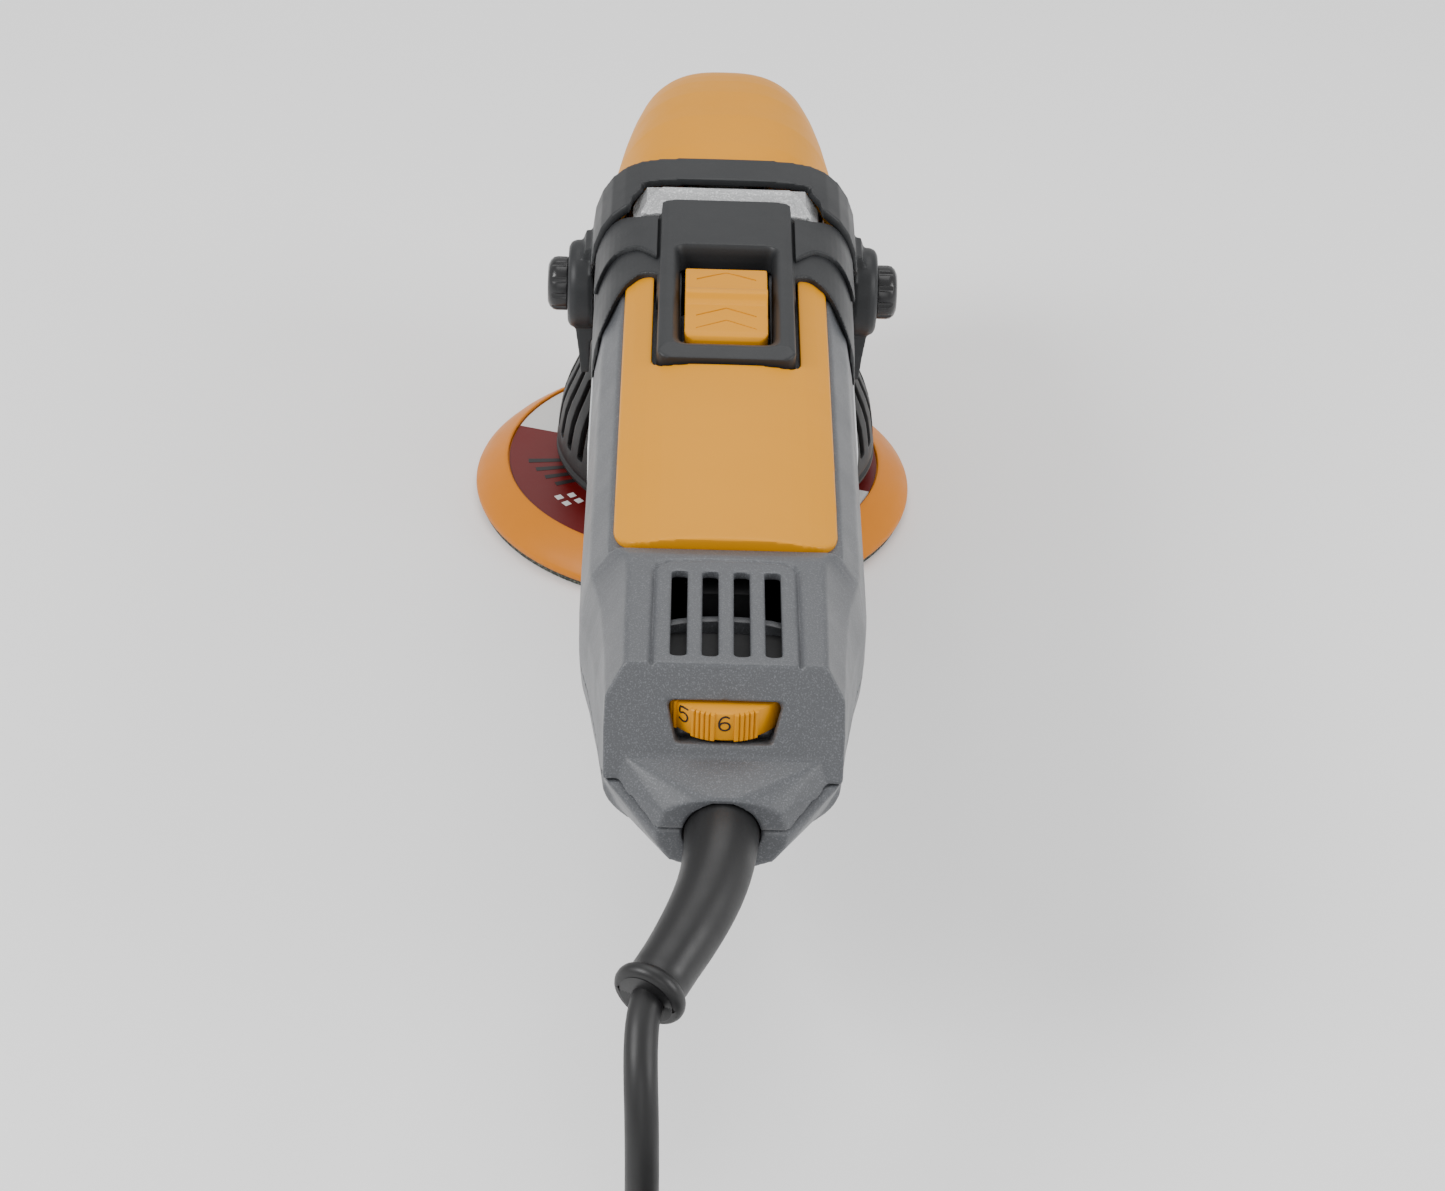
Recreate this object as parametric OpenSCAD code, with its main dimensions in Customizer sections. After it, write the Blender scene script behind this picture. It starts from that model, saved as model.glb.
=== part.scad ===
// Corded dual-action polisher: clamshell motor housing, bevel gear head, eccentric pad drive.
// Origin: on the output spindle's axis, at the pad's bottom face. +Z is up, +Y is forwards (nose), millimetres.

/* [Pad and drive] */
// Diameter of the backing plate
pad_d = 150; // [140:1:160]
// Offset of the pad's axis from the spindle's axis (half the orbit)
orbit_offset = 7.5; // [6:0.5:8]
// Radius of the shroud's bottom rim
shroud_r = 54.3; // [52:0.1:56]
// Number of air slots round the shroud
shroud_slots = 40; // [24:4:40]

/* [Motor housing] */
// Height of the motor's axis above the pad's bottom face
motor_z = 95; // [95:1:96]
// Half the width of the motor housing
body_w = 39.5; // [39:0.1:40.5]
// Thickness of the housing's wall
wall = 2.6; // [2.2:0.1:2.8]
// Number of air slots in the top grille
grille_slots = 4; // [3:1:4]

/* [Controls] */
// Forward travel of the slide switch
switch_travel = 8.5; // [6:0.5:8.5]
// Radius of the speed dial's rim
dial_r = 17; // [16:0.5:17.5]

/* [Cord] */
// Diameter of the mains cord
cord_d = 8.5; // [8:0.1:8.6]
// Turns in the stored coil's lower layer
coil_turns = 4; // [4:1:4]

/* [Hidden] */
$fn = 64;

orange = "#f7a41a";
grey = "#6f7276";
charcoal = "#3f4144";
steel = "#b9bcc0";
gap = 0.15;            // half the seam between the housing's halves
body_top = 132.8;
body_bottom = 56;
case_bolts = [[28, 111], [-28, 111], [28, 79], [-28, 79]];
crest_y = -303;        // top edge of the dial's face
ridge_y = -312.6;      // bottom edge of the dial's face
tail_y = -325;         // end of the tail, where the cord leaves
front_y = -53;         // where the motor housing meets the gear case
yoke_y = -33;          // middle of the yoke's band and the handle screws
knob_z = 97;
band_w = 15;

// ---------- helpers ----------
// Cylinder along Y from y0 to y1.
module ycyl(r, y0, y1, x = 0, z = motor_z, r2 = undef) {
    translate([x, y1, z]) rotate([90, 0, 0]) cylinder(r1 = is_undef(r2) ? r : r2, r2 = r, h = y1 - y0);
}
// Cylinder along X from x0 to x1.
module xcyl(r, x0, x1, y, z) {
    translate([x0, y, z]) rotate([0, 90, 0]) cylinder(r = r, h = x1 - x0);
}
module zcyl(r, z0, z1, x = 0, y = 0) {
    translate([x, y, z0]) cylinder(r = r, h = z1 - z0);
}
module zring(r, bore, z0, z1, x = 0, y = 0) {
    difference() {
        zcyl(r, z0, z1, x, y);
        zcyl(bore, z0 - 1, z1 + 1, x, y);
    }
}
module yring(r, bore, y0, y1) {
    difference() {
        ycyl(r, y0, y1);
        ycyl(bore, y0 - 1, y1 + 1);
    }
}
module block(x0, x1, y0, y1, z0, z1) {
    translate([x0, y0, z0]) cube([x1 - x0, y1 - y0, z1 - z0]);
}
module both_sides() {
    children();
    mirror([1, 0, 0]) children();
}
// Prism between y0 and y1 of the outline whose right half is listed from top to bottom.
module bar(y0, y1, half) {
    translate([0, y1, 0]) rotate([90, 0, 0]) linear_extrude(y1 - y0) polygon(concat(half,
        [for (i = [len(half) - 2:-1:1]) [-half[i][0], half[i][1]]]));
}
// Convex skin between neighbouring outlines, each given as [y, right half].
module skin(sections) {
    for (i = [0:len(sections) - 2]) hull()
        loft([ring(sections[i][0], sections[i][1]), ring(sections[i + 1][0], sections[i + 1][1])]);
}
// Solid through rings of equally many points, from the first ring to the last.
module loft(rings) {
    n = len(rings[0]);
    m = len(rings);
    faces = concat(
        [[for (j = [n - 1:-1:0]) j]],
        [for (i = [0:m - 2]) for (j = [0:n - 1]) [i * n + j, i * n + (j + 1) % n, (i + 1) * n + j]],
        [for (i = [0:m - 2]) for (j = [0:n - 1])
            [i * n + (j + 1) % n, (i + 1) * n + (j + 1) % n, (i + 1) * n + j]],
        [[for (j = [0:n - 1]) (m - 1) * n + j]]);
    polyhedron([for (r = rings) each r], faces);
}
// Closed ring at y from the right half of a cross-section, listed from top centre to bottom centre.
function ring(y, half) = concat(
    [for (p = half) [p[0], y, p[1]]],
    [for (i = [len(half) - 2:-1:1]) [-half[i][0], y, half[i][1]]]);
// Right half of a superellipse of half-width w between z0 and z1.
function super_half(w, z0, z1, n, steps = 14) = [for (i = [0:steps])
    let (a = 90 - 180 * i / steps, zc = (z0 + z1) / 2, h = (z1 - z0) / 2)
    [w * pow(abs(cos(a)), 2 / n), zc + h * sign(sin(a)) * pow(abs(sin(a)), 2 / n)]];
// Frames and rings of a round tube along points, with one radius for each point.
function unit(v) = v / norm(v);
function along(p, i) = unit(p[min(i + 1, len(p) - 1)] - p[max(i - 1, 0)]);
function tube_ring(c, t, r, sides) = let (
    side = unit(cross(t, abs(t[2]) > 0.95 ? [1, 0, 0] : [0, 0, 1])),
    up = cross(side, t))
    [for (j = [0:sides - 1]) c + r * (cos(360 * j / sides) * side + sin(360 * j / sides) * up)];
module tube(points, radii, sides = 8) {
    loft([for (i = [0:len(points) - 1])
        tube_ring(points[i], along(points, i), is_list(radii) ? radii[i] : radii, sides)]);
}
// Point at share u of the smooth curve through p[i] and p[i + 1].
function spline_at(p, i, u) = let (
    a = p[max(i - 1, 0)], b = p[i], c = p[i + 1], d = p[min(i + 2, len(p) - 1)])
    0.5 * (2 * b + (c - a) * u + (2 * a - 5 * b + 4 * c - d) * u * u + (3 * b - a - 3 * c + d) * u * u * u);
function smooth_path(p, parts) = concat(
    [for (i = [0:len(p) - 2]) for (k = [0:parts - 1]) spline_at(p, i, k / parts)], [p[len(p) - 1]]);

// ---------- motor housing ----------
// Right halves of the cross-sections, [x, z] from top to bottom.
barrel = [[0, 132.8], [12, 132.4], [23, 131], [31, 127.4], [36.5, 120.5], [body_w, 110], [body_w, 82],
    [36.5, 70], [29, 61], [17, 57], [0, body_bottom]];
waist = [[0, body_top], [26, body_top], [29, 130.4], [33.8, 124], [37.3, 116], [37.3, 82], [34.5, 71],
    [27, 62], [16, 58.4], [0, 58]];
crest = [[0, 133], [25.6, 133], [28, 130.4], [29.4, 126], [30.6, 119], [30.6, 86], [28, 77], [22, 71],
    [13, 68], [0, 67.4]];
ridge = [[0, 110], [12, 110], [25, 110], [25.8, 108], [26.2, 103], [26.2, 88], [23.6, 81], [17, 77],
    [8, 75.4], [0, 75.2]];
tail_tip = [[0, 106], [4, 105.8], [8, 105.2], [12, 103.6], [14.6, 101.4], [16, 98], [16, 90], [13.6, 86.6],
    [9, 85.2], [0, 85]];
neck = [[0, body_top], [26, body_top], [28.6, 130.6], [31.6, 125], [34, 118], [34, 84], [31, 74], [24.6, 67],
    [14.6, 63.6], [0, 63.2]];

function taken_in(half, t) = let (w = max([for (p = half) p[0]]), top = half[0][1],
    bottom = half[len(half) - 1][1], zc = (top + bottom) / 2, h = (top - bottom) / 2)
    [for (p = half) [p[0] * (w - t) / w, zc + (p[1] - zc) * (h - t) / h]];
module housing_form(t = 0) {
    skin([[tail_y + t, taken_in(tail_tip, t)], [ridge_y + t / 2, taken_in(ridge, t)],
        [crest_y + t, taken_in(crest, t)], [-279, taken_in(neck, t)], [-257, taken_in(waist, t)],
        [-239, taken_in(barrel, t)],
        [front_y + (t > 0 ? 1 : 0), taken_in(barrel, t)]]);
}
module screw_places() {
    for (p = [[33, -91], [31.5, -232], [25, -283]])
        both_sides() translate([p[0], p[1], 0]) children();
}
module slot_shape(w, y0, y1) {
    block(-w / 2, w / 2, y0 + w / 2, y1 - w / 2, 120, 140);
    translate([0, 0, 120]) {
        translate([0, y0 + w / 2, 0]) cylinder(r = w / 2, h = 20, $fn = 20);
        translate([0, y1 - w / 2, 0]) cylinder(r = w / 2, h = 20, $fn = 20);
    }
}
grille_pitch = 8.2;
module grille_cut() {
    for (i = [0:grille_slots - 1])
        translate([(i - (grille_slots - 1) / 2) * grille_pitch, 0, 0]) slot_shape(4.2, -298.5, -259);
}
// The dial lies flat, and its rim stands out through a window in the sloping face.
face_tilt = -22.65;
dial_out = 2.4;
dial_h = 8.6;
dial_face = [0, -309, 118.6];
module on_face() {
    translate(dial_face) rotate([face_tilt, 0, 0]) children();
}
module on_wheel() {
    translate(dial_face + [0, dial_r - dial_out, 0]) children();
}
module dial_window() {
    on_face() translate([0, 5, 0]) rotate([90, 0, 0]) linear_extrude(12)
        polygon([[-12.5, -4.8], [12.5, -4.8], [14.8, 4.8], [-14.8, 4.8]]);
    on_wheel() translate([0, 0, -dial_h / 2 - 0.8])
        cylinder(r = dial_r + 0.8, h = dial_h + 1.6, $fn = 48);
}
module shell() {
    difference() {
        housing_form();
        housing_form(wall);
        translate([0, 0, motor_z]) rotate([90, 0, 0]) {
            translate([0, 0, -tail_y - 12]) cylinder(r = 9.35, h = 20, $fn = 32);
            translate([0, 0, -ridge_y - 10]) cylinder(r = 6, h = 30, $fn = 32);
        }
    }
}
// Rib across the inside that carries a round part on the motor's axis.
module bearing_wall(y0, y1, r) {
    difference() {
        intersection() {
            housing_form(wall - 0.3);
            block(-60, 60, y0, y1, 0, 200);
        }
        translate([0, y1 + 1, motor_z]) rotate([90, 0, 0]) cylinder(r = r, h = y1 - y0 + 2, $fn = 48);
        for (a = [45:90:315])
            rotate_about_motor(a) block(-5, 5, y0 - 1, y1 + 1, motor_z + r + 4, motor_z + r + 13);
        block(-6, 6, y0 - 1, y1 + 1, motor_z + 30, motor_z + 34.6);
    }
}
module rotate_about_motor(a) {
    translate([0, 0, motor_z]) rotate([0, a, 0]) translate([0, 0, -motor_z]) children();
}
module housing_solid() {
    difference() {
        union() {
            shell();
            bearing_wall(-204, -195, 11);
            bearing_wall(-57.6, front_y, 16);
            intersection() {
                housing_form(wall - 0.3);
                screw_places() cylinder(r = 5.2, h = 200, $fn = 20);
            }
        }
        screw_places() translate([0, 0, 50]) cylinder(r = 1.7, h = 66, $fn = 16);
        screw_places() translate([0, 0, 40]) cylinder(r = 3.9, h = 37, $fn = 16);
        for (a = case_bolts) translate([a[0], front_y + 1, a[1]]) rotate([90, 0, 0])
            cylinder(r = 2.1, h = 8, $fn = 12);
    }
}
module upper_housing() {
    color(grey) difference() {
        intersection() {
            housing_solid();
            block(-60, 60, -400, 0, motor_z + gap, 200);
        }
        grille_cut();
        dial_window();
        block(-13.2, 13.2, -137, -72, 110, 150);
    }
    // raised frame round the grille
    color(grey) difference() {
        block(-18.8, 18.8, -301.2, -251.5, body_top - 0.6, body_top + 0.7);
        block(-17, 17, -310, -253.3, body_top - 1, body_top + 1);
    }
}
module lower_housing() {
    color(grey) intersection() {
        housing_solid();
        block(-60, 60, -400, 0, 0, motor_z - gap);
    }
}
// The housing's outside, with a hair of clearance, to shape whatever sits on it.
module barrel_bar() {
    bar(-270, -40, [for (p = barrel) [p[0] * 1.004, p[1] + 0.1]]);
}
// Cover over the top of the motor, standing 2 mm proud of the housing.
panel_half = [[0, 135.2], [10, 134.9], [20, 133.8], [27, 131.8], [30.4, 129.8], [30.4, 122], [0, 122]];
module top_panel() {
    color(orange) difference() {
        bar(-244, -60, panel_half);
        barrel_bar();
        skin([[-257, taken_in(waist, -0.12)], [-238.9, taken_in(barrel, -0.12)]]);
        block(-21.5, 21.5, -146.5, -40, 110, 150);
        linear_extrude(200) wing_plan(0.5);
        both_sides() difference() {
            block(22.4, 32, -246, -236, 100, 150);
            zcyl(8, 90, 160, 22.4, -236);
        }
    }
}
// Plan of the two raised shoulders in front of the switch.
module wing_plan(more = 0) {
    both_sides() polygon([[20.9, front_y + 0.4 + more], [44, front_y + 0.4 + more], [44, -96 - more],
        [38 + more / 2, -112 - more], [33 - more, -100 - more], [27 - more, -91 - more], [20.9, -85 - more]]);
}
bezel_half = [[0, 138.6], [19, 138.2], [21, 136.6], [21, 126], [0, 126]];
module switch_bezel() {
    color(charcoal) difference() {
        union() {
            intersection() {
                bar(-120, front_y + 0.2, super_half(41.2, 54, 138, 3.6));
                translate([0, 0, 106]) linear_extrude(60) wing_plan();
            }
            bar(-146, front_y + 0.2, bezel_half);
        }
        barrel_bar();
        block(-14, 14, -133.4, -75, 110, 150);
        translate([0, -146, 136]) rotate([18, 0, 0]) block(-30, 30, -20, 0, 0, 20);
    }
}
module side_badges() {
    color("gainsboro") both_sides() block(body_w + 0.02, body_w + 0.6, -150, -75, 87, 105);
}

// ---------- switch and speed control ----------
button_y0 = -130.8;
button_y1 = -85;
module switch_button() {
    color(orange) {
        translate([-12.3, 0, 0]) rotate([90, 0, 90]) linear_extrude(24.6) polygon([[button_y0, 133.2],
            [button_y0, 135.4], [button_y0 + 1.6, 136.6], [-104, 137], [-99.5, 138.6], [-95, 137.1],
            [button_y1 - 1.6, 136.6], [button_y1, 135.4], [button_y1, 133.2]]);
        block(-5, 5, -118, -98, 125.6, 133.3);
    }
}
module switch_slider() {
    color("#2b2b2b") {
        block(-4, 4, -242, -118.02, 126, 128.6);
        block(-3, 3, -242, -239.5, 118, 126.1);
    }
}
module switch_unit() {
    color("#303234") {
        block(-8, 8, -262, -246, 100, 127.5);
        block(-3, 3, -246.01, -242.4, 119, 124);
    }
    color(steel) for (x = [-5, 5]) block(x - 0.4, x + 0.4, -257, -253, 95, 100.01);
}
dial_marks = 6;
dial_step = 40;
module speed_dial() {
    color(orange) on_wheel() difference() {
        union() {
            translate([0, 0, -dial_h / 2]) cylinder(r = dial_r - 0.8, h = dial_h);
            for (k = [0:dial_marks]) for (j = [-2:2]) rotate(-90 - (k - 0.5) * dial_step + j * 4.6)
                translate([dial_r - 1.7, -0.55, 0.4 - dial_h / 2]) cube([1.7, 1.1, dial_h - 0.8]);
        }
        translate([0, 0, -10]) cylinder(r = 3.1, h = 12);
    }
}
module speed_board() {
    color("darkgreen") block(-18, 18, -296, -262, 86, 87.6);
    color("#2b2b2b") {
        block(-16, -7, -282, -266, 87.59, 95);
        zcyl(4.5, 87.59, 99, 12, -272);
        block(-5, 5, -304, -292, 86, 101);
        on_wheel() translate([0, 0, -18]) cylinder(r = 4.9, h = 17.3 - dial_h / 2);
    }
    color(steel) on_wheel() translate([0, 0, -6]) cylinder(r = 3.05, h = 7.9);
}
// ---------- motor ----------
module field_stator() {
    color("slategray") difference() {
        ycyl(29.6, -158, -98);
        ycyl(20.4, -160, -90);
        both_sides() block(14, 25.4, -160, -90, motor_z - 13, motor_z + 13);
    }
}
module field_coils() {
    color("#b5622b") both_sides() difference() {
        block(18.6, 25.2, -168, -88, motor_z - 12.6, motor_z + 12.6);
        ycyl(21.2, -200, 0);
    }
}
module armature_shaft() {
    color(steel) {
        ycyl(4, -203, -170);
        ycyl(5, -170, -60);
        ycyl(6, -60.01, -40);
    }
}
module armature_core() {
    color("slategray") difference() {
        ycyl(19.6, -158, -98);
        ycyl(5.01, -160, -90);
        for (a = [0:30:330]) rotate_about_motor(a) block(-1, 1, -160, -90, motor_z + 15.5, motor_z + 22);
    }
}
module armature_windings() {
    color("#b5622b") for (s = [[-167, -158.05], [-97.95, -88]]) yring(16.5, 5.01, s[0], s[1]);
}
module commutator() {
    color("#c8834a") difference() {
        yring(12, 5.01, -185 + 0.05, -169.9);
        for (a = [0:15:345]) rotate_about_motor(a) block(-0.3, 0.3, -186, -169, motor_z + 11.2, motor_z + 13);
    }
    color("#303030") yring(5.0, 4.01, -185 + 0.05, -170.05);
}
module brush_gear() {
    for (side = [1, -1]) {
        color("goldenrod") difference() {
            block(side > 0 ? 15 : -33, side > 0 ? 33 : -15, -182, -173, motor_z - 5, motor_z + 5);
            block(-40, 40, -180.4, -174.6, motor_z - 3.4, motor_z + 3.4);
        }
        color("#252525") block(side > 0 ? 12.1 : -26, side > 0 ? 26 : -12.1, -180.3, -174.7,
            motor_z - 3.3, motor_z + 3.3);
    }
}
module ball_bearing_y(bore, r, y0, y1) {
    color(steel) {
        yring(r, r - 2, y0, y1);
        yring(bore + 2, bore, y0, y1);
        yring(r - 2, bore + 2, y0 + 0.8, y1 - 0.8);
    }
}
module motor_bearings() {
    ball_bearing_y(4.01, 10.98, -203, -196);
    ball_bearing_y(6.01, 13.98, -52, -44);
}
module cooling_fan() {
    color("#2e2e2e") {
        yring(11, 5.01, -78, -62);
        yring(30, 10.9, -78, -76);
        for (a = [0:30:330]) rotate_about_motor(a) block(-0.9, 0.9, -76.01, -64, motor_z + 10.5, motor_z + 29);
    }
}
module fan_baffle() {
    color("#2e2e2e") difference() {
        yring(34.4, 23, -86, -83);
        screw_places() zcyl(5.7, 0, 200);
    }
}

// ---------- bevel gears, all flanks running to the apex where the two axes cross ----------
pinion_teeth = 9;
crown_teeth = 36;
mesh_r = 29;                              // radius at which the tooth sections are drawn
pinion_pitch = mesh_r * pinion_teeth / crown_teeth;
module_mm = 2 * pinion_pitch / pinion_teeth;
tooth_share = 0.42;                       // tooth thickness as a share of the pitch
pressure = 28;
face_len = 9;
function involute(rb, a) = [rb * (cos(a) + a * PI / 180 * sin(a)), rb * (sin(a) - a * PI / 180 * cos(a))];
function turn(p, a) = [p[0] * cos(a) - p[1] * sin(a), p[0] * sin(a) + p[1] * cos(a)];
module pinion_section() {
    rb = pinion_pitch * cos(pressure);
    tip = pinion_pitch + 0.75 * module_mm;
    root = pinion_pitch - 1.05 * module_mm;
    pitch_roll = tan(pressure) * 180 / PI;
    half = 360 * tooth_share / pinion_teeth / 2;
    start = half + pitch_roll - pressure;
    tip_roll = sqrt(pow(tip / rb, 2) - 1) * 180 / PI;
    circle(r = root, $fn = 40);
    for (k = [0:pinion_teeth - 1]) rotate(-90 + k * 360 / pinion_teeth)
        polygon(concat(
            [turn([root - 0.4, 0], -start)],
            [for (i = [0:4]) turn(involute(rb, tip_roll * i / 4), -start)],
            [for (i = [4:-1:0]) let (p = turn(involute(rb, tip_roll * i / 4), -start)) [p[0], -p[1]]],
            [turn([root - 0.4, 0], start)]));
}
module drive_pinion() {
    color(steel) difference() {
        union() {
            translate([0, -mesh_r, motor_z]) rotate([-90, 0, 0]) rotate(180)
                linear_extrude(face_len, scale = (mesh_r - face_len) / mesh_r) pinion_section();
            ycyl(8.4, -39.9, -mesh_r + 0.01);
        }
        translate([0, -60, motor_z]) rotate([-90, 0, 0]) cylinder(r = 3, h = 80);
    }
    color(steel) ycyl(2.98, -39.95, -18);
}
function crown_root(r) = motor_z - (pinion_pitch + 1.15 * module_mm) * r / mesh_r + 0.35;
module crown_tooth() {
    add = 0.72 * module_mm;
    ded = 1.15 * module_mm;
    half = PI * module_mm * tooth_share / 2;
    translate([0, -mesh_r, motor_z]) rotate([-90, 0, 0]) linear_extrude(face_len, scale = (mesh_r - face_len) / mesh_r)
        polygon([for (q = [[-half - ded * tan(pressure), ded], [half + ded * tan(pressure), ded],
            [half - add * tan(pressure), -add], [-half + add * tan(pressure), -add]]) [q[0], pinion_pitch + q[1]]]);
}
module crown_gear() {
    color(steel) {
        rotate_extrude($fn = 96) polygon([[6.01, 79], [28.4, 79], [28.8, crown_root(28.8)],
            [19.6, crown_root(19.6)], [11, 87.5], [11, 90], [6.01, 90]]);
        for (k = [0:crown_teeth - 1]) rotate((k + 0.5) * 360 / crown_teeth) crown_tooth();
    }
}

// ---------- gear head ----------
case_half = [[0, 120], [23, 120], [31.4, 113], [31.4, 66], [28, 61.5], [0, 61.5]];
case_back = [[0, 131], [22, 130], [31, 124], [36.6, 114], [38.4, 104], [38.4, 84], [35, 70], [28, 61], [0, 58]];
module gear_case() {
    color("silver") difference() {
        union() {
            bar(front_y + 0.4, -44, case_back);
            bar(-44.01, -12, case_half);
            rotate_extrude() polygon([[0, 61], [33.2, 61], [33.2, 113.6], [29.3, 118.6], [0, 118.6]]);
            zcyl(14, 118, 128.4);
            bar(-52, -42.5, [[0, 137.4], [25, 137.2], [29.3, 130.6], [21, 117.5], [0, 117.5]]);
            both_sides() xcyl(12.5, 30, 41.4, yoke_y, knob_z);
        }
        zcyl(30.8, 77, 116);
        zcyl(16.02, 60, 80);
        zcyl(23, 50, 64);
        zcyl(8.02, 115, 126.2);
        ycyl(14, front_y - 1, -44);
        ycyl(10.5, -46, -20);
        both_sides() xcyl(3.5, 32, 50, yoke_y, knob_z);
        for (a = [45:90:315]) rotate(a) zcyl(1.9, 55, 75, 27.5);
        for (a = case_bolts) ycyl(1.9, front_y - 1, -40, a[0], a[1]);
        zring(43, 33.7, 50, 64.75);
    }
}
module bearing_flange() {
    color("silver") difference() {
        union() {
            zring(22.9, 14, 60.4, 64);
            zring(33, 14, 57.4, 60.95);
        }
        for (a = [45:90:315]) rotate(a) zcyl(2.1, 50, 70, 27.5);
    }
}
module flange_screws() {
    color(steel) for (a = [45:90:315]) rotate(a) translate([27.5, 0, 0]) {
        zcyl(1.88, 57.38, 72);
        difference() {
            zcyl(3.6, 54.6, 57.39);
            translate([0, 0, 54]) cylinder(r = 1.8, h = 2, $fn = 6);
        }
    }
}
module case_screws() {
    color(steel) for (a = case_bolts) {
        ycyl(1.88, -57.63, -43, a[0], a[1]);
        difference() {
            ycyl(3.5, -60.6, -57.62, a[0], a[1]);
            translate([a[0], -59, a[1]]) rotate([90, 0, 0]) cylinder(r = 1.7, h = 2, $fn = 6);
        }
    }
}
// Nose cover, held between the yoke's band and the front of the gear case.
hood_rings = [[-25.2, 38.4, 137.4], [8, 38.2, 139.2], [28, 35.8, 138.4], [47, 33, 135.4],
    [58, 31, 131.6], [66, 28.8, 126.6], [73, 25.4, 118.6], [78, 20, 107], [81.4, 10, 92]];
function hood_half(w, top, bottom) = let (c = 90)
    concat([for (i = [0:9]) let (a = 90 - 10 * i) [w * pow(cos(a), 2 / 2.7), c + (top - c) * pow(sin(a), 2 / 2.7)]],
        [[w, bottom], [0, bottom]]);
module head_hood() {
    color(orange) difference() {
        skin([for (s = hood_rings) [s[0], hood_half(s[1], s[2], 63)]]);
        skin([for (i = [0:len(hood_rings) - 2]) let (s = hood_rings[i])
            [s[0] - (i == 0 ? 1 : i > 2 ? 2 : 0), hood_half(s[1] - 2.4, s[2] - 2.4, 60)]]);
        block(-60, 60, -100, -24.9, 0, 60);
        translate([0, 0, 40]) cylinder(r = 42.6, h = 25, $fn = 48);
        both_sides() xcyl(12.9, 20, 60, yoke_y, knob_z);
    }
}
// U-shaped band over the head with a round ear on each side for the handle screws.
module handle_yoke() {
    y0 = yoke_y - band_w / 2;
    y1 = yoke_y + band_w / 2;
    color(charcoal) difference() {
        union() {
            bar(y0, y1, band_outer);
            both_sides() {
                translate([0, y1, 0]) rotate([90, 0, 0]) linear_extrude(band_w) polygon([[41, 112], [44.6, 112],
                    [48, 102], [48, 88], [45.6, 69], [43, 69], [42, 88]]);
                xcyl(14.25, 42, 50, yoke_y, knob_z);
            }
        }
        bar(y0 - 1, y1 + 1, band_inner);
        both_sides() xcyl(12.8, 20, 41.7, yoke_y, knob_z);
        both_sides() xcyl(4.4, 30, 60, yoke_y, knob_z);
    }
}
band_outer = [[0, 139.8], [27, 139.8], [30, 137.6], [36, 132.4], [40.4, 125], [42.6, 114], [42.6, 90],
    [41.9, 90], [41.9, 80], [0, 80]];
band_inner = [[0, 137.2], [25.6, 137.2], [28.6, 134.6], [34, 129.8], [38.2, 123.6], [41.7, 113], [41.7, 60],
    [0, 60]];
module knob(side) {
    mirror([side < 0 ? 1 : 0, 0, 0]) color("#1b1b1c") {
        xcyl(3.4, 33, 50.41, yoke_y, knob_z);
        difference() {
            union() {
                xcyl(8.2, 50.4, 54.8, yoke_y, knob_z);
                translate([54.79, yoke_y, knob_z]) rotate([0, 90, 0]) cylinder(r1 = 8.2, r2 = 6, h = 2);
            }
            for (a = [0:60:300]) translate([50, yoke_y, knob_z]) rotate([a, 0, 0]) translate([0, 0, 9.9])
                rotate([0, 90, 0]) cylinder(r = 2.7, h = 8);
        }
    }
}

// ---------- eccentric drive ----------
module ball_bearing_z(bore, r, z0, z1, x = 0) {
    color(steel) {
        zring(r, r - 2.4, z0, z1, x);
        zring(bore + 2.2, bore, z0, z1, x);
        zring(r - 2.4, bore + 2.2, z0 + 0.8, z1 - 0.8, x);
    }
}
module spindle_bearings() {
    ball_bearing_z(6.01, 16, 64.1, 74.1);
    color(steel) zring(8, 4.02, 118.2, 125.8);
}
module output_spindle() {
    color(steel) {
        zcyl(6, 52, 91.5);
        zcyl(4, 91.49, 126);
    }
}
carrier_x = -orbit_offset;
module eccentric_carrier() {
    color("#8b8f94") difference() {
        union() {
            zcyl(20, 32, 53, carrier_x);
            zcyl(10, 52.99, 57);
            intersection() {
                zring(40, 10, 38, 53);
                rotate(-75) block(-60, 60, 6, 60, 30, 60);
            }
            intersection() {
                zring(40, 10, 38, 53);
                rotate(-105) block(-60, 60, 6, 60, 30, 60);
            }
        }
        zcyl(16.02, 31, 50, carrier_x);
        zcyl(6.01, 50, 60);
    }
}
module pad_bearings() {
    for (z = [32, 41.1]) ball_bearing_z(7.51, 16, z, z + 8.9, carrier_x);
}
module pad_spindle() {
    color(steel) difference() {
        union() {
            zcyl(7.5, 28, 50 - 0.2, carrier_x);
            zcyl(11, 20.5, 28.01, carrier_x);
        }
        zcyl(4, 10, 36, carrier_x);
    }
}

// ---------- pad ----------
pad_r = pad_d / 2;
label_r = pad_r - 11.2;
module backing_plate() {
    color(orange) translate([carrier_x, 0, 0]) difference() {
        rotate_extrude($fn = 128) polygon([[4.3, 6], [11.5, 6], [11.5, 1.6], [pad_r - 1.2, 1.6], [pad_r - 0.2, 2.4],
            [pad_r, 3.4], [pad_r - 0.2, 4.6], [label_r + 1, 13], [label_r + 0.2, 13.4], [label_r, 12.2],
            [30, 12.2], [26, 15.5], [22, 16.5], [18, 20.4], [4.3, 20.4]]);
        for (a = [30:60:330]) rotate(a) zcyl(4, -1, 9, 45);
    }
}
module pad_label() {
    color("#7d0a0a") zring(label_r - 0.3, 31, 12.25, 12.6, carrier_x);
}
module hook_face() {
    color("#3c4038") difference() {
        zring(pad_r - 1.4, 5, 0, 1.59, carrier_x);
        for (a = [30:60:330]) translate([carrier_x, 0, 0]) rotate(a) zcyl(4, -1, 9, 45);
    }
}
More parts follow.
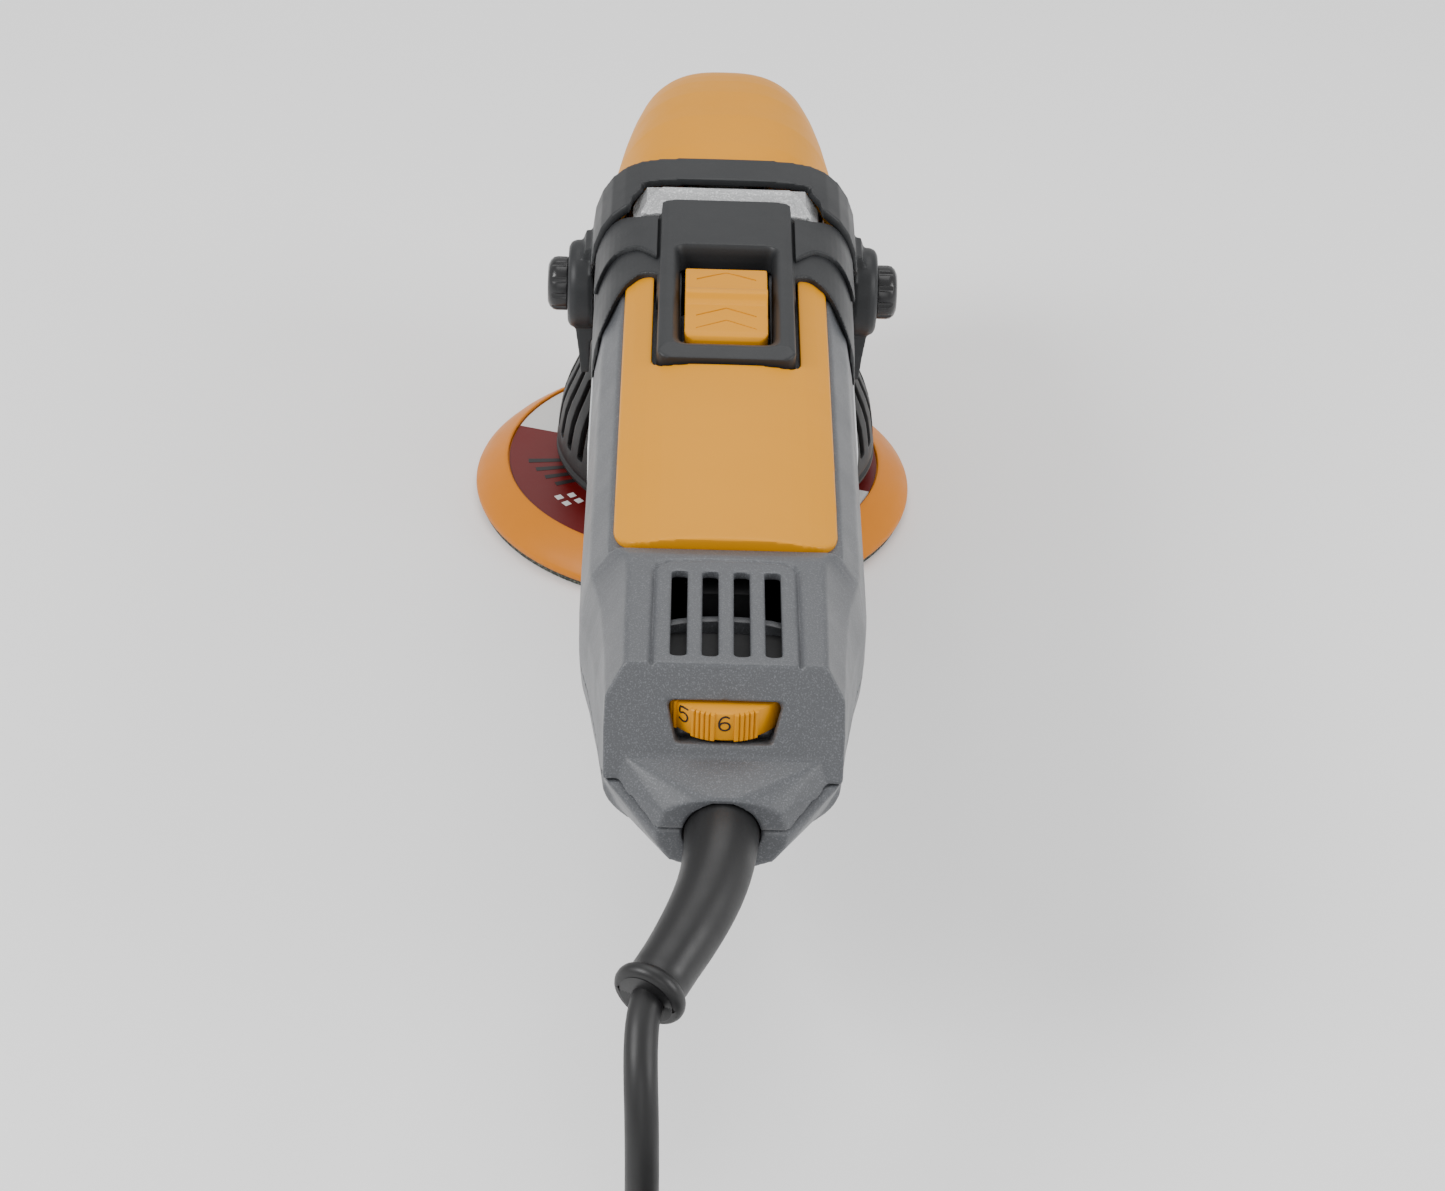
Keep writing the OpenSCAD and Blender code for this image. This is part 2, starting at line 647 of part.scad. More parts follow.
module pad_screw() {
    color(steel) difference() {
        union() {
            zcyl(3.9, 5.97, 34, carrier_x);
            zcyl(8, 2, 5.98, carrier_x);
        }
        translate([carrier_x, 0, 1]) cylinder(r = 3.4, h = 3.4, $fn = 6);
    }
}
shroud_profile = [[shroud_r, 17.6], [shroud_r + 0.4, 19.4], [shroud_r - 0.5, 20], [shroud_r - 0.5, 21],
    [shroud_r + 0.2, 21.8], [shroud_r, 26], [53.6, 31], [52.6, 36.5], [51, 41.4], [49, 46], [46.9, 51],
    [44.6, 55.6], [42, 59.6], [39.4, 63], [36, 64.6]];
module shroud() {
    color("#1f1f20") difference() {
        rotate_extrude($fn = 96) polygon(concat(shroud_profile, [[36, 61.4], [38.2, 61]],
            [for (i = [12:-1:1]) [shroud_profile[i][0] - 2.6, shroud_profile[i][1] - (i > 7 ? 1 : 0)]],
            [[shroud_r - 2.6, 17.6]]));
        for (k = [0:shroud_slots - 1]) rotate((k + 0.5) * 360 / shroud_slots)
            translate([30, -1.6, 27]) cube([30, 3.2, 25]);
    }
}

// ---------- cable entry ----------
module cable_clamp() {
    color(charcoal) block(-11, 11, -311, -305, motor_z + 4.6, motor_z + 7);
    color(steel) both_sides() zcyl(1.5, motor_z + 6.99, motor_z + 8.4, 8.5, -308);
}
module housing_screws() {
    color(steel) screw_places() {
        zcyl(1.58, 76.8, 112);
        difference() {
            zcyl(3.4, 73.6, 76.9);
            translate([0, 0, 72]) cylinder(r = 1.6, h = 3, $fn = 6);
        }
    }
}
relief_path = [[0, -313.2, 95], [0, -325, 95], [-0.6, -334, 94.6], [-2.2, -343, 93.4], [-5, -352, 91.8],
    [-8.8, -361, 89.8], [-13, -369.4, 87.8], [-17, -377, 86]];
relief_end = relief_path[len(relief_path) - 1];
relief_dir = unit(relief_end - relief_path[len(relief_path) - 2]);
module strain_relief() {
    body = smooth_path(relief_path, 3);
    n = len(body);
    lip = [[-2, 7.7], [-1.2, 8.8], [0, 9.2], [1.2, 9.2], [2.2, 8.4], [2.4, 7.4], [1.6, 6.6], [0, 6], [-4, 5.4]];
    points = concat([for (i = [0:n - 3]) body[i]], [for (q = lip) relief_end + q[0] * relief_dir]);
    radii = concat([for (i = [0:n - 3]) 9.2 - 1.5 * i / n], [for (q = lip) q[1]]);
    dirs = concat([for (i = [0:n - 3]) along(body, i)], [for (q = lip) relief_dir]);
    color("#161617") loft([for (i = [0:len(points) - 1]) tube_ring(points[i], dirs[i], radii[i], 16)]);
}
// Route of the cord from the strain relief to the coil, then from the coil to the plug.
cord_r = cord_d / 2;
coil_x = 45;
coil_y = -486;
coil_r0 = 37.25;
drop_path = [[-13.6, -369.9, 87.4], [-17, -377, 86], [-18.6, -383.8, 83.6], [-19, -390.4, 79.8],
    [-18.8, -396.2, 74.4], [-18.4, -400.8, 67.4], [-18.1, -403.8, 59.4], [-17.9, -405.4, 50.6],
    [-17.8, -406.6, 42], [-17.75, -409.4, 32.6], [-17.75, -414.4, 23.4], [-17.75, -421.8, 15],
    [-17.75, -431.4, 8.6], [-17.75, -442.6, 5.2], [-17.75, -454, 4.25], [-17.75, -470, 4.25],
    [-17.75, -486, 4.25]];
lead_path = [[-16.8, -475.1, 12.75], [-17.75, -486, 12.75], [-18, -500, 12.8], [-18, -515, 12.9],
    [-18, -529.99, 13]];
plug = [-18, -530, 13];               // back end of the plug's sleeve
module power_cord() {
    color("#161617") tube(smooth_path(drop_path, 3), cord_r, 8);
}
module cord_coil() {
    color("#161617") translate([coil_x, coil_y, 0]) rotate_extrude($fn = 72)
        translate([coil_r0 - cord_r, 0]) square([coil_turns * cord_d, 2 * cord_d]);
}
module cord_tie() {
    color("#2a2a2a") translate([coil_x, coil_y, 0]) rotate(90) difference() {
        block(coil_r0 - cord_r - 1.2, coil_r0 - cord_r + coil_turns * cord_d + 1.2, -7, 7, 0, 2 * cord_d + 1.2);
        block(coil_r0 - cord_r, coil_r0 - cord_r + coil_turns * cord_d, -8, 8, 0.8, 2 * cord_d);
    }
}
module plug_lead() {
    color("#161617") tube(smooth_path(lead_path, 2), cord_r, 8);
}
module plug_body() {
    color("#161617") translate(plug) rotate(-90) {
        rotate([0, 90, 0]) cylinder(r1 = 5.6, r2 = 8.4, h = 17);
        difference() {
            translate([14, -18, -13]) cube([41, 36, 26]);
            for (s = [1, -1]) translate([10, s * 31, -14]) cylinder(r = 17, h = 28);
            for (y = [9.5, -9.5]) translate([45, y, 0]) rotate([0, 90, 0]) cylinder(r = 1.92, h = 20);
        }
    }
}
module plug_pins() {
    color(steel) for (x = [9.5, -9.5]) translate(plug + [x, -46, 0]) rotate([90, 0, 0]) {
        cylinder(r = 1.9, h = 9.01);
        translate([0, 0, 9]) cylinder(r = 2.4, h = 19);
    }
}

upper_housing();
lower_housing();
top_panel();
switch_bezel();
side_badges();
gear_case();
head_hood();
handle_yoke();
bearing_flange();
shroud();
spindle_bearings();
field_stator();
field_coils();
brush_gear();
motor_bearings();
fan_baffle();
speed_board();
switch_unit();
cable_clamp();
housing_screws();
case_screws();
flange_screws();
strain_relief();
power_cord();
cord_coil();
cord_tie();
plug_lead();
plug_body();
plug_pins();
switch_button();
switch_slider();
speed_dial();
armature_shaft();
armature_core();
armature_windings();
commutator();
cooling_fan();
drive_pinion();
output_spindle();
crown_gear();
eccentric_carrier();
pad_bearings();
pad_spindle();
backing_plate();
pad_label();
hook_face();
pad_screw();
knob(-1);  // knob_left
knob(1);  // knob_right
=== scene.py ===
import bpy, bmesh, math
from math import cos, pi, radians, sin
from mathutils import Matrix, Vector


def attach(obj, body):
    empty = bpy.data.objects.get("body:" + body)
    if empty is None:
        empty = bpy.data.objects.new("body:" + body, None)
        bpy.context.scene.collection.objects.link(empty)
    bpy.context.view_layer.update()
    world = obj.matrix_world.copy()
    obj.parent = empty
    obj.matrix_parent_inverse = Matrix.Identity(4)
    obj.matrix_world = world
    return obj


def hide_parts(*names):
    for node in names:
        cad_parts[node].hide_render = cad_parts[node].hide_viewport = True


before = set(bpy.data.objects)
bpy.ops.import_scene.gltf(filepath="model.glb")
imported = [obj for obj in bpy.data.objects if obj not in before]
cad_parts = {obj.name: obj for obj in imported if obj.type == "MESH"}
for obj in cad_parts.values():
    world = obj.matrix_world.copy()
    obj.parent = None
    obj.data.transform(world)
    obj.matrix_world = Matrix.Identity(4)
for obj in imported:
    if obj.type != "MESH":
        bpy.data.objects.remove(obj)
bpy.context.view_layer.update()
MM = 0.001
MOTOR_Z = 95  # height of the motor's axis, in millimetres


# ---------- camera: it looks down on the tool's tail from behind ----------
AZIMUTH, ELEVATION, ROLL = radians(-1.165), radians(33.17), radians(2.176)
SENSOR, LENS = 36, 86.34
AIM, DISTANCE = Vector((0.0002, -0.213, 0.095)), 0.9787


def make_camera():
    az, el, roll = AZIMUTH, ELEVATION, ROLL
    look = Vector((-sin(az) * cos(el), cos(az) * cos(el), -sin(el)))
    right = Vector((cos(az), sin(az), 0))
    up = right.cross(look)
    right, up = cos(roll) * right + sin(roll) * up, cos(roll) * up - sin(roll) * right
    data = bpy.data.cameras.new("camera")
    data.sensor_fit, data.sensor_width, data.lens = "HORIZONTAL", SENSOR, LENS
    data.clip_start, data.clip_end = 0.05, 50
    cam = bpy.data.objects.new("camera", data)
    bpy.context.scene.collection.objects.link(cam)
    m = Matrix((right, up, -look)).transposed().to_4x4()
    m.translation = AIM - DISTANCE * look
    cam.matrix_world = m
    bpy.context.scene.camera = cam


# ---------- mesh helpers, all in millimetres ----------
def link(name, mesh):
    ob = bpy.data.objects.new(name, mesh)
    bpy.context.scene.collection.objects.link(ob)
    return ob


def raw(name, verts, faces):
    me = bpy.data.meshes.new(name)
    me.from_pydata([Vector(v) * MM for v in verts], [], faces)
    bm = bmesh.new()
    bm.from_mesh(me)
    bmesh.ops.remove_doubles(bm, verts=bm.verts, dist=1e-6)
    bmesh.ops.recalc_face_normals(bm, faces=bm.faces)
    bm.to_mesh(me)
    bm.free()
    return link(name, me)


def loft(name, rings, wrap=False):
    """Skin over rings of points; capped at both ends, or joined end to end when wrapped."""
    n, m = len(rings[0]), len(rings)
    verts = [p for r in rings for p in r]
    faces = []
    for i in range(m if wrap else m - 1):
        for j in range(n):
            a, b = i * n, ((i + 1) % m) * n
            faces.append((a + j, a + (j + 1) % n, b + (j + 1) % n, b + j))
    if not wrap:
        faces += [tuple(range(n))[::-1], tuple((m - 1) * n + k for k in range(n))]
    return raw(name, verts, faces)


def lathe(name, profile, steps=96, centre=(0, 0, 0)):
    """Turns a closed profile of (radius, height) points round +Z."""
    rings = []
    for k in range(steps):
        a = 2 * pi * k / steps
        rings.append([(centre[0] + r * cos(a), centre[1] + r * sin(a), centre[2] + h) for r, h in profile])
    return loft(name, rings, wrap=True)


def hull(name, points):
    bm = bmesh.new()
    for p in points:
        bm.verts.new(Vector(p) * MM)
    out = bmesh.ops.convex_hull(bm, input=bm.verts)
    inside = [g for g in out["geom_interior"] + out["geom_unused"] if isinstance(g, bmesh.types.BMVert)]
    bmesh.ops.delete(bm, geom=list(set(inside)), context="VERTS")
    bmesh.ops.recalc_face_normals(bm, faces=bm.faces)
    me = bpy.data.meshes.new(name)
    bm.to_mesh(me)
    bm.free()
    return link(name, me)


def box(x0, x1, y0, y1, z0, z1):
    return hull("box", [(x, y, z) for x in (x0, x1) for y in (y0, y1) for z in (z0, z1)])


def prism(name, outline, low, high, axis="z"):
    """outline of (u, v) points pushed along an axis: z takes (x, y), y takes (x, z), x takes (y, z)."""
    def at(u, v, w):
        return {"z": (u, v, w), "y": (u, w, v), "x": (w, u, v)}[axis]
    return loft(name, [[at(u, v, w) for u, v in outline] for w in (low, high)])


def rod(r, low, high, centre=(0, 0), axis="z", sides=32):
    """Round bar or bore along an axis."""
    angles = [2 * pi * k / sides for k in range(sides)]
    return prism("rod", [(centre[0] + r * cos(a), centre[1] + r * sin(a)) for a in angles], low, high, axis)


def rounded(points, radii, steps=6):
    """Closed outline with its corners rounded."""
    out, n = [], len(points)
    for i, p in enumerate(points):
        p, a, b = Vector(p), Vector(points[i - 1]), Vector(points[(i + 1) % n])
        r = radii[i] if isinstance(radii, (list, tuple)) else radii
        u, v = (a - p).normalized(), (b - p).normalized()
        half = u.angle(v) / 2 if r > 0 else 0
        if r <= 0 or half > 1.56:
            out += [tuple(p)] * (steps + 1)
            continue
        d = min(r / math.tan(half), (a - p).length * 0.49, (b - p).length * 0.49)
        s, e = p + u * d, p + v * d
        for k in range(steps + 1):
            t = k / steps
            out.append(tuple((1 - t) ** 2 * s + 2 * t * (1 - t) * (p * 0.85 + (s + e) * 0.075) + t * t * e))
    return out


def change(ob, kind, **settings):
    """Adds a modifier and applies it."""
    mod = ob.modifiers.new(kind.lower(), kind)
    for k, v in settings.items():
        setattr(mod, k, v)
    dg = bpy.context.evaluated_depsgraph_get()
    me = bpy.data.meshes.new_from_object(ob.evaluated_get(dg))
    ob.modifiers.clear()
    old, ob.data = ob.data, me
    bpy.data.meshes.remove(old)
    return ob


def gone(ob):
    me = ob.data
    bpy.data.objects.remove(ob)
    bpy.data.meshes.remove(me)


def combine(ob, others, op):
    for o in others:
        change(ob, "BOOLEAN", operation=op, object=o, solver="MANIFOLD")
        gone(o)
    return ob


def add(ob, *others):
    return combine(ob, others, "UNION")


def cut(ob, *others):
    return combine(ob, others, "DIFFERENCE")


def keep(ob, *others):
    return combine(ob, others, "INTERSECT")


def copy(ob, mirror=False):
    c = link(ob.name, ob.data.copy())
    if mirror:
        c.data.transform(Matrix.Scale(-1, 4, (1, 0, 0)))
        c.data.flip_normals()
    return c


def moulded(ob, voxel=0.55, smooth=3, ratio=0.35):
    """Softens every edge slightly, as moulding does."""
    change(ob, "REMESH", mode="VOXEL", voxel_size=voxel * MM, adaptivity=0)
    if smooth:
        change(ob, "SMOOTH", factor=0.5, iterations=smooth)
    if ratio < 1:
        change(ob, "DECIMATE", decimate_type="COLLAPSE", ratio=ratio)
    return ob


def edged(ob, width=0.5, segments=2, angle=28):
    return change(ob, "BEVEL", width=width * MM, segments=segments, limit_method="ANGLE",
                  angle_limit=radians(angle))


def smooth(ob, angle=35):
    me = ob.data
    me.polygons.foreach_set("use_smooth", [True] * len(me.polygons))
    me.set_sharp_from_angle(angle=radians(angle))
    me.update()
    return ob


def lerp(a, b, t):
    return a + (b - a) * t


def blend_rows(rows, y):
    """rows of [y, values...] in falling or rising y, interpolated."""
    rows = sorted(rows, key=lambda r: r[0])
    if y <= rows[0][0]:
        return rows[0][1:]
    for a, b in zip(rows, rows[1:]):
        if y <= b[0]:
            t = (y - a[0]) / (b[0] - a[0])
            return [lerp(p, q, t) for p, q in zip(a[1:], b[1:])]
    return rows[-1][1:]


def curve_points(points, parts):
    """Smooth curve through points."""
    p = [Vector(q) for q in points]
    out = []
    for i in range(len(p) - 1):
        a, b, c, d = p[max(i - 1, 0)], p[i], p[i + 1], p[min(i + 2, len(p) - 1)]
        for k in range(parts):
            u = k / parts
            out.append(0.5 * (2 * b + (c - a) * u + (2 * a - 5 * b + 4 * c - d) * u * u
                              + (3 * b - a - 3 * c + d) * u * u * u))
    return out + [p[-1]]


def tube(name, path, radii, sides=24):
    rings, up = [], Vector((0, 0, 1))
    for i, c in enumerate(path):
        t = (path[min(i + 1, len(path) - 1)] - path[max(i - 1, 0)]).normalized()
        side = t.cross(up)
        side = side.normalized() if side.length > 0.05 else Vector((1, 0, 0))
        if i and side.dot(last) < 0:
            side = -side
        up, last = side.cross(t).normalized(), side
        r = radii[i] if isinstance(radii, (list, tuple)) else radii
        rings.append([c + r * (cos(2 * pi * k / sides) * side + sin(2 * pi * k / sides) * up)
                      for k in range(sides)])
    return loft(name, rings)


# ---------- materials ----------
def nodes_of(name):
    mat = bpy.data.materials.new(name)
    mat.use_nodes = True
    nt = mat.node_tree
    bsdf = nt.nodes["Principled BSDF"]
    coord = nt.nodes.new("ShaderNodeTexCoord")
    return mat, nt, bsdf, coord.outputs["Object"]


def noise(nt, vec, scale, detail=3.0, rough=0.55):
    n = nt.nodes.new("ShaderNodeTexNoise")
    n.inputs["Scale"].default_value = scale
    n.inputs["Detail"].default_value = detail
    n.inputs["Roughness"].default_value = rough
    nt.links.new(vec, n.inputs["Vector"])
    return n.outputs["Fac"]


def ramp(nt, fac, low, high, a, b):
    r = nt.nodes.new("ShaderNodeMapRange")
    r.inputs["From Min"].default_value, r.inputs["From Max"].default_value = low, high
    r.inputs["To Min"].default_value, r.inputs["To Max"].default_value = a, b
    nt.links.new(fac, r.inputs["Value"])
    return r.outputs["Result"]


def tint(nt, fac, dark, light, low=0.3, high=0.7):
    r = nt.nodes.new("ShaderNodeValToRGB")
    r.color_ramp.elements[0].position, r.color_ramp.elements[1].position = low, high
    r.color_ramp.elements[0].color, r.color_ramp.elements[1].color = (*dark, 1), (*light, 1)
    nt.links.new(fac, r.inputs["Fac"])
    return r.outputs["Color"]


def bump(nt, bsdf, fac, strength, distance):
    b = nt.nodes.new("ShaderNodeBump")
    b.inputs["Strength"].default_value, b.inputs["Distance"].default_value = strength, distance
    nt.links.new(fac, b.inputs["Height"])
    nt.links.new(b.outputs["Normal"], bsdf.inputs["Normal"])
    return b


def scaled(c, k):
    return tuple(min(1, v * k) for v in c)


def plastic(name, colour, rough=(0.35, 0.45), grain=1400, depth=0.0001, strength=0.2, vary=0.06,
            specular=0.5, painted_sparkle=0.0, metal=0.0, coat=0.0):
    """Moulded plastic or rubber: faint colour drift, a fine mould texture and uneven gloss."""
    mat, nt, bsdf, vec = nodes_of(name)
    drift = noise(nt, vec, 18, 4)
    base = tint(nt, drift, scaled(colour, 1 - vary), scaled(colour, 1 + vary))
    fine = noise(nt, vec, grain, 2, 0.6)
    # painted sparkle: light flecks on the fine grain, mixed into the base colour, stand in for glints of
    # light off the textured surface
    if painted_sparkle:
        mix = nt.nodes.new("ShaderNodeMix")
        mix.data_type = "RGBA"
        nt.links.new(ramp(nt, fine, 0.52, 0.72, 0, painted_sparkle), mix.inputs["Factor"])
        nt.links.new(base, mix.inputs["A"])
        mix.inputs["B"].default_value = (*scaled(colour, 2.6), 1)
        base = mix.outputs["Result"]
    nt.links.new(base, bsdf.inputs["Base Color"])
    worn = noise(nt, vec, 70, 5)
    nt.links.new(ramp(nt, worn, 0.25, 0.75, rough[0], rough[1]), bsdf.inputs["Roughness"])
    bsdf.inputs["Specular IOR Level"].default_value = specular
    bsdf.inputs["Metallic"].default_value = metal
    bsdf.inputs["Coat Weight"].default_value = coat
    bsdf.inputs["Coat Roughness"].default_value = 0.25
    bump(nt, bsdf, fine, strength, depth)
    return mat


def metal(name, colour, rough=(0.22, 0.38), grain=900, stretch=(1, 1, 12), strength=0.12):
    """Turned or drawn metal: fine lines along one direction and slight colour drift."""
    mat, nt, bsdf, vec = nodes_of(name)
    mp = nt.nodes.new("ShaderNodeMapping")
    mp.inputs["Scale"].default_value = stretch
    nt.links.new(vec, mp.inputs["Vector"])
    lines = noise(nt, mp.outputs["Vector"], grain / 6, 4)
    nt.links.new(tint(nt, noise(nt, vec, 30, 3), scaled(colour, 0.86), scaled(colour, 1.08)),
                 bsdf.inputs["Base Color"])
    nt.links.new(ramp(nt, lines, 0.3, 0.7, rough[0], rough[1]), bsdf.inputs["Roughness"])
    bsdf.inputs["Metallic"].default_value = 1.0
    bump(nt, bsdf, lines, strength, 0.0001)
    return mat


M = {}


def make_materials():
    M["orange"] = plastic("orange_gloss", (0.62, 0.25, 0.0), (0.34, 0.44), 1600, 0.00005, 0.12, 0.03, 0.22)
    M["hood"] = plastic("hood_satin", (0.61, 0.243, 0.0), (0.40, 0.5), 1600, 0.00006, 0.15, 0.035, 0.22)
    M["pad"] = plastic("pad_urethane", (0.55, 0.17, 0.0), (0.38, 0.52), 900, 0.0001, 0.2, 0.06, 0.25)
    M["grey"] = plastic("housing_grey", (0.066, 0.069, 0.075), (0.36, 0.48), 2300, 0.00012, 0.35, 0.04,
                        0.5, 0.6)
    M["dark"] = plastic("overmould_grey", (0.016, 0.017, 0.0185), (0.40, 0.52), 1500, 0.00006, 0.18, 0.05,
                        0.35, 0.1)
    M["black"] = plastic("black_rubber", (0.006, 0.006, 0.0065), (0.38, 0.55), 1200, 0.00008, 0.22, 0.10,
                         0.45)
    M["shroud"] = plastic("shroud_black", (0.006, 0.006, 0.0065), (0.42, 0.58), 1500, 0.00008, 0.2, 0.10,
                          0.42)
    M["gloss_black"] = plastic("knob_black", (0.008, 0.008, 0.009), (0.22, 0.34), 700, 0.00008, 0.15, 0.10,
                               0.5)
    M["inside"] = plastic("inner_black", (0.014, 0.014, 0.015), (0.5, 0.65), 900, 0.0001, 0.2, 0.1, 0.35)
    M["cast"] = plastic("cast_alloy", (0.42, 0.425, 0.43), (0.34, 0.62), 1500, 0.00035, 0.9, 0.12, 0.5,
                        0.55, 0.75)
    M["steel"] = metal("ground_steel", (0.60, 0.60, 0.61))
    M["laminated"] = metal("laminated_steel", (0.32, 0.33, 0.34), (0.4, 0.55), 3000, (1, 40, 1), 0.4)
    M["iron"] = plastic("cast_iron", (0.16, 0.165, 0.17), (0.5, 0.7), 700, 0.0003, 0.6, 0.15, 0.4, 0.2, 0.8)
    M["copper"] = metal("copper_wire", (0.62, 0.25, 0.11), (0.3, 0.45), 3000, (1, 30, 1), 0.5)
    M["carbon"] = plastic("carbon_brush", (0.03, 0.03, 0.032), (0.5, 0.65), 1200, 0.0001, 0.3, 0.1, 0.4)
    M["board"] = plastic("circuit_board", (0.01, 0.11, 0.035), (0.3, 0.45), 500, 0.0001, 0.2, 0.25, 0.5)
    M["badge"] = plastic("silver_foil", (0.72, 0.73, 0.74), (0.25, 0.36), 1500, 0.00003, 0.1, 0.03, 0.5, 0,
                         0.35)
    M["ink"] = plastic("printed_ink", (0.012, 0.010, 0.010), (0.4, 0.5), 900, 0.00003, 0.1, 0.1, 0.4)
    M["white"] = plastic("label_white", (0.6, 0.6, 0.59), (0.35, 0.45), 900, 0.00003, 0.1, 0.03, 0.4)
    M["red"] = plastic("label_red", (0.11, 0.0004, 0.0004), (0.35, 0.46), 900, 0.00003, 0.1, 0.07, 0.4)
    M["hook"] = hook_material()


def hook_material():
    """Hook side of hook-and-loop: a fine field of short stalks."""
    mat, nt, bsdf, vec = nodes_of("hook_fabric")
    v = nt.nodes.new("ShaderNodeTexVoronoi")
    v.inputs["Scale"].default_value = 900
    nt.links.new(vec, v.inputs["Vector"])
    d = v.outputs["Distance"]
    nt.links.new(tint(nt, d, (0.13, 0.14, 0.11), (0.03, 0.035, 0.03), 0.1, 0.6), bsdf.inputs["Base Color"])
    nt.links.new(ramp(nt, noise(nt, vec, 200, 3), 0.3, 0.7, 0.75, 0.95), bsdf.inputs["Roughness"])
    bump(nt, bsdf, d, 0.8, 0.0006)
    return mat


def paint(ob, *names):
    ob.data.materials.clear()
    for n in names:
        ob.data.materials.append(M[n])
    return ob


def place(ob, name, body, slot, *replaced):
    """Names a finished piece, gives it to a body and hides the CAD parts it stands in for."""
    ob.name = name
    ob.data.name = name
    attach(ob, body)
    if replaced:
        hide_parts(*replaced)
    return ob


# ---------- the cord: about 2.8 m, wound up behind the tool ----------
CORD_R = 4.25
DROP = [(-13.6, -369.9, 87.4), (-17, -377, 86), (-18.6, -383.8, 83.6), (-19, -390.4, 79.8),
        (-18.8, -396.2, 74.4), (-18.4, -400.8, 67.4), (-18.1, -403.8, 59.4), (-17.9, -405.4, 50.6),
        (-17.8, -406.6, 42), (-17.75, -409.4, 32.6), (-17.75, -414.4, 23.4), (-17.75, -421.8, 15),
        (-17.75, -431.4, 8.6), (-17.75, -442.6, 5.2), (-17.75, -454, 4.25), (-17.75, -470, 4.25),
        (-17.75, -486, 4.25)]
RELIEF = [(0, -313.2, 95), (0, -325, 95), (-0.6, -334, 94.6), (-2.2, -343, 93.4), (-5, -352, 91.8),
          (-8.8, -361, 89.8), (-13, -369.4, 87.8), (-17, -377, 86)]
COIL = Vector((45, -486, 0))
# radius at the start of each turn, and the height of the cord in the lower and the upper layer
TURN_RADII = [62.75, 54.25, 45.75, 37.25, 37.25, 45.75, 54.25, 62.75, 62.75]
LOW_LAYER, HIGH_LAYER = 4.25, 12.75
LEAD = [(-17.75, -486, 12.75), (-18, -500, 12.8), (-18, -515, 12.9), (-18, -533, 13)]
PLUG = Vector((-18, -530, 13))


def ease(t):
    t = max(0, min(1, t))
    return t * t * (3 - 2 * t)


def coil_points(step=10):
    """Four turns inwards along the floor, then four outwards on top of them."""
    out = []
    for a in range(0, 8 * 360 + 1, step):
        turn = min(a // 360, 7)
        b = a - turn * 360
        t = ease((b - 220) / 140) if turn < 4 else ease((b - 60) / 130)  # step to the next radius
        r = lerp(TURN_RADII[turn], TURN_RADII[turn + 1], t)
        z = lerp(LOW_LAYER, HIGH_LAYER, ease((a - 3 * 360 - 195) / 155))
        out.append(COIL + Vector((r * cos(radians(180 + a)), r * sin(radians(180 + a)), z)))
    return out


def make_cord():
    path = curve_points(DROP, 4)[:-1] + coil_points()[:-1] + curve_points(LEAD, 3)
    cord = smooth(paint(tube("cord", path, CORD_R, 16), "black"))
    length = sum((b - a).length for a, b in zip(path, path[1:]))
    place(cord, "cord", "housing", "black_rubber", "power_cord", "cord_coil", "plug_lead")
    # a ribbed strap round the coil's far side
    r0, r1 = 32.2, 67.8
    outline = rounded([(r0, -0.1), (r1, -0.1), (r1, 18.0), (r0, 18.0)], 2.5, 5)
    inner = rounded([(r0 + 0.8, 0.7), (r1 - 0.8, 0.7), (r1 - 0.8, 17.2), (r0 + 0.8, 17.2)], 2.2, 5)
    strap = prism("strap", outline, -6.5, 6.5, "y")
    cut(strap, prism("cut", inner, -8, 8, "y"))
    rib = rounded([(r0 + 4, 17.6), (r1 - 4, 17.6), (r1 - 4, 18.15), (r0 + 4, 18.15)], 0.2, 2)
    for k in range(-4, 5):
        add(strap, prism("rib", rib, k * 1.35 - 0.25, k * 1.35 + 0.25, "y"))
    strap.data.transform(Matrix.Rotation(radians(90), 4, "Z"))
    strap.data.transform(Matrix.Translation((COIL + Vector((0, 0, 0.1))) * MM))
    smooth(paint(strap, "inside"), 30)
    place(strap, "coil_strap", "housing", "black_rubber", "cord_tie")
    # plug: tapered sleeve and a waisted body
    plan = [(-18, -14), (-15, -30), (-18, -55), (18, -55), (15, -30), (18, -14)]
    body = prism("plug", rounded(plan, 4, 5), -12.9, 12.9)
    for s in (1, -1):
        cut(body, lathe("waist", [(0, -20), (17, -20), (17, 20), (0, 20)], 48, (s * 31.5, -34, 0)))
    add(body, tube("sleeve", [Vector((0, -y, 0)) for y in (0, 1, 4, 8, 12, 17)],
                   [5.5, 6.2, 6.6, 7.2, 7.8, 8.6], 32))
    moulded(body, 0.7, 4, 0.4)
    for k in range(3):
        cut(body, ring_y(9, 6.3, -4.2 - 3.6 * k, 0.55))
    body.data.transform(Matrix.Translation(PLUG * MM))
    smooth(paint(body, "black"), 40)
    place(body, "plug", "housing", "black_plastic", "plug_body")
    return cord, [p * MM for p in path], length * MM, [strap, body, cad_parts["plug_pins"]]


def ring_y(r_out, r_in, y, half):
    """Square-section ring round the Y axis."""
    rings = []
    for k in range(32):
        a = 2 * pi * k / 32
        section = ((r_in, -half), (r_out, -half), (r_out, half), (r_in, half))
        rings.append([(r * cos(a), y + h, r * sin(a)) for r, h in section])
    return loft("ring", rings, wrap=True)


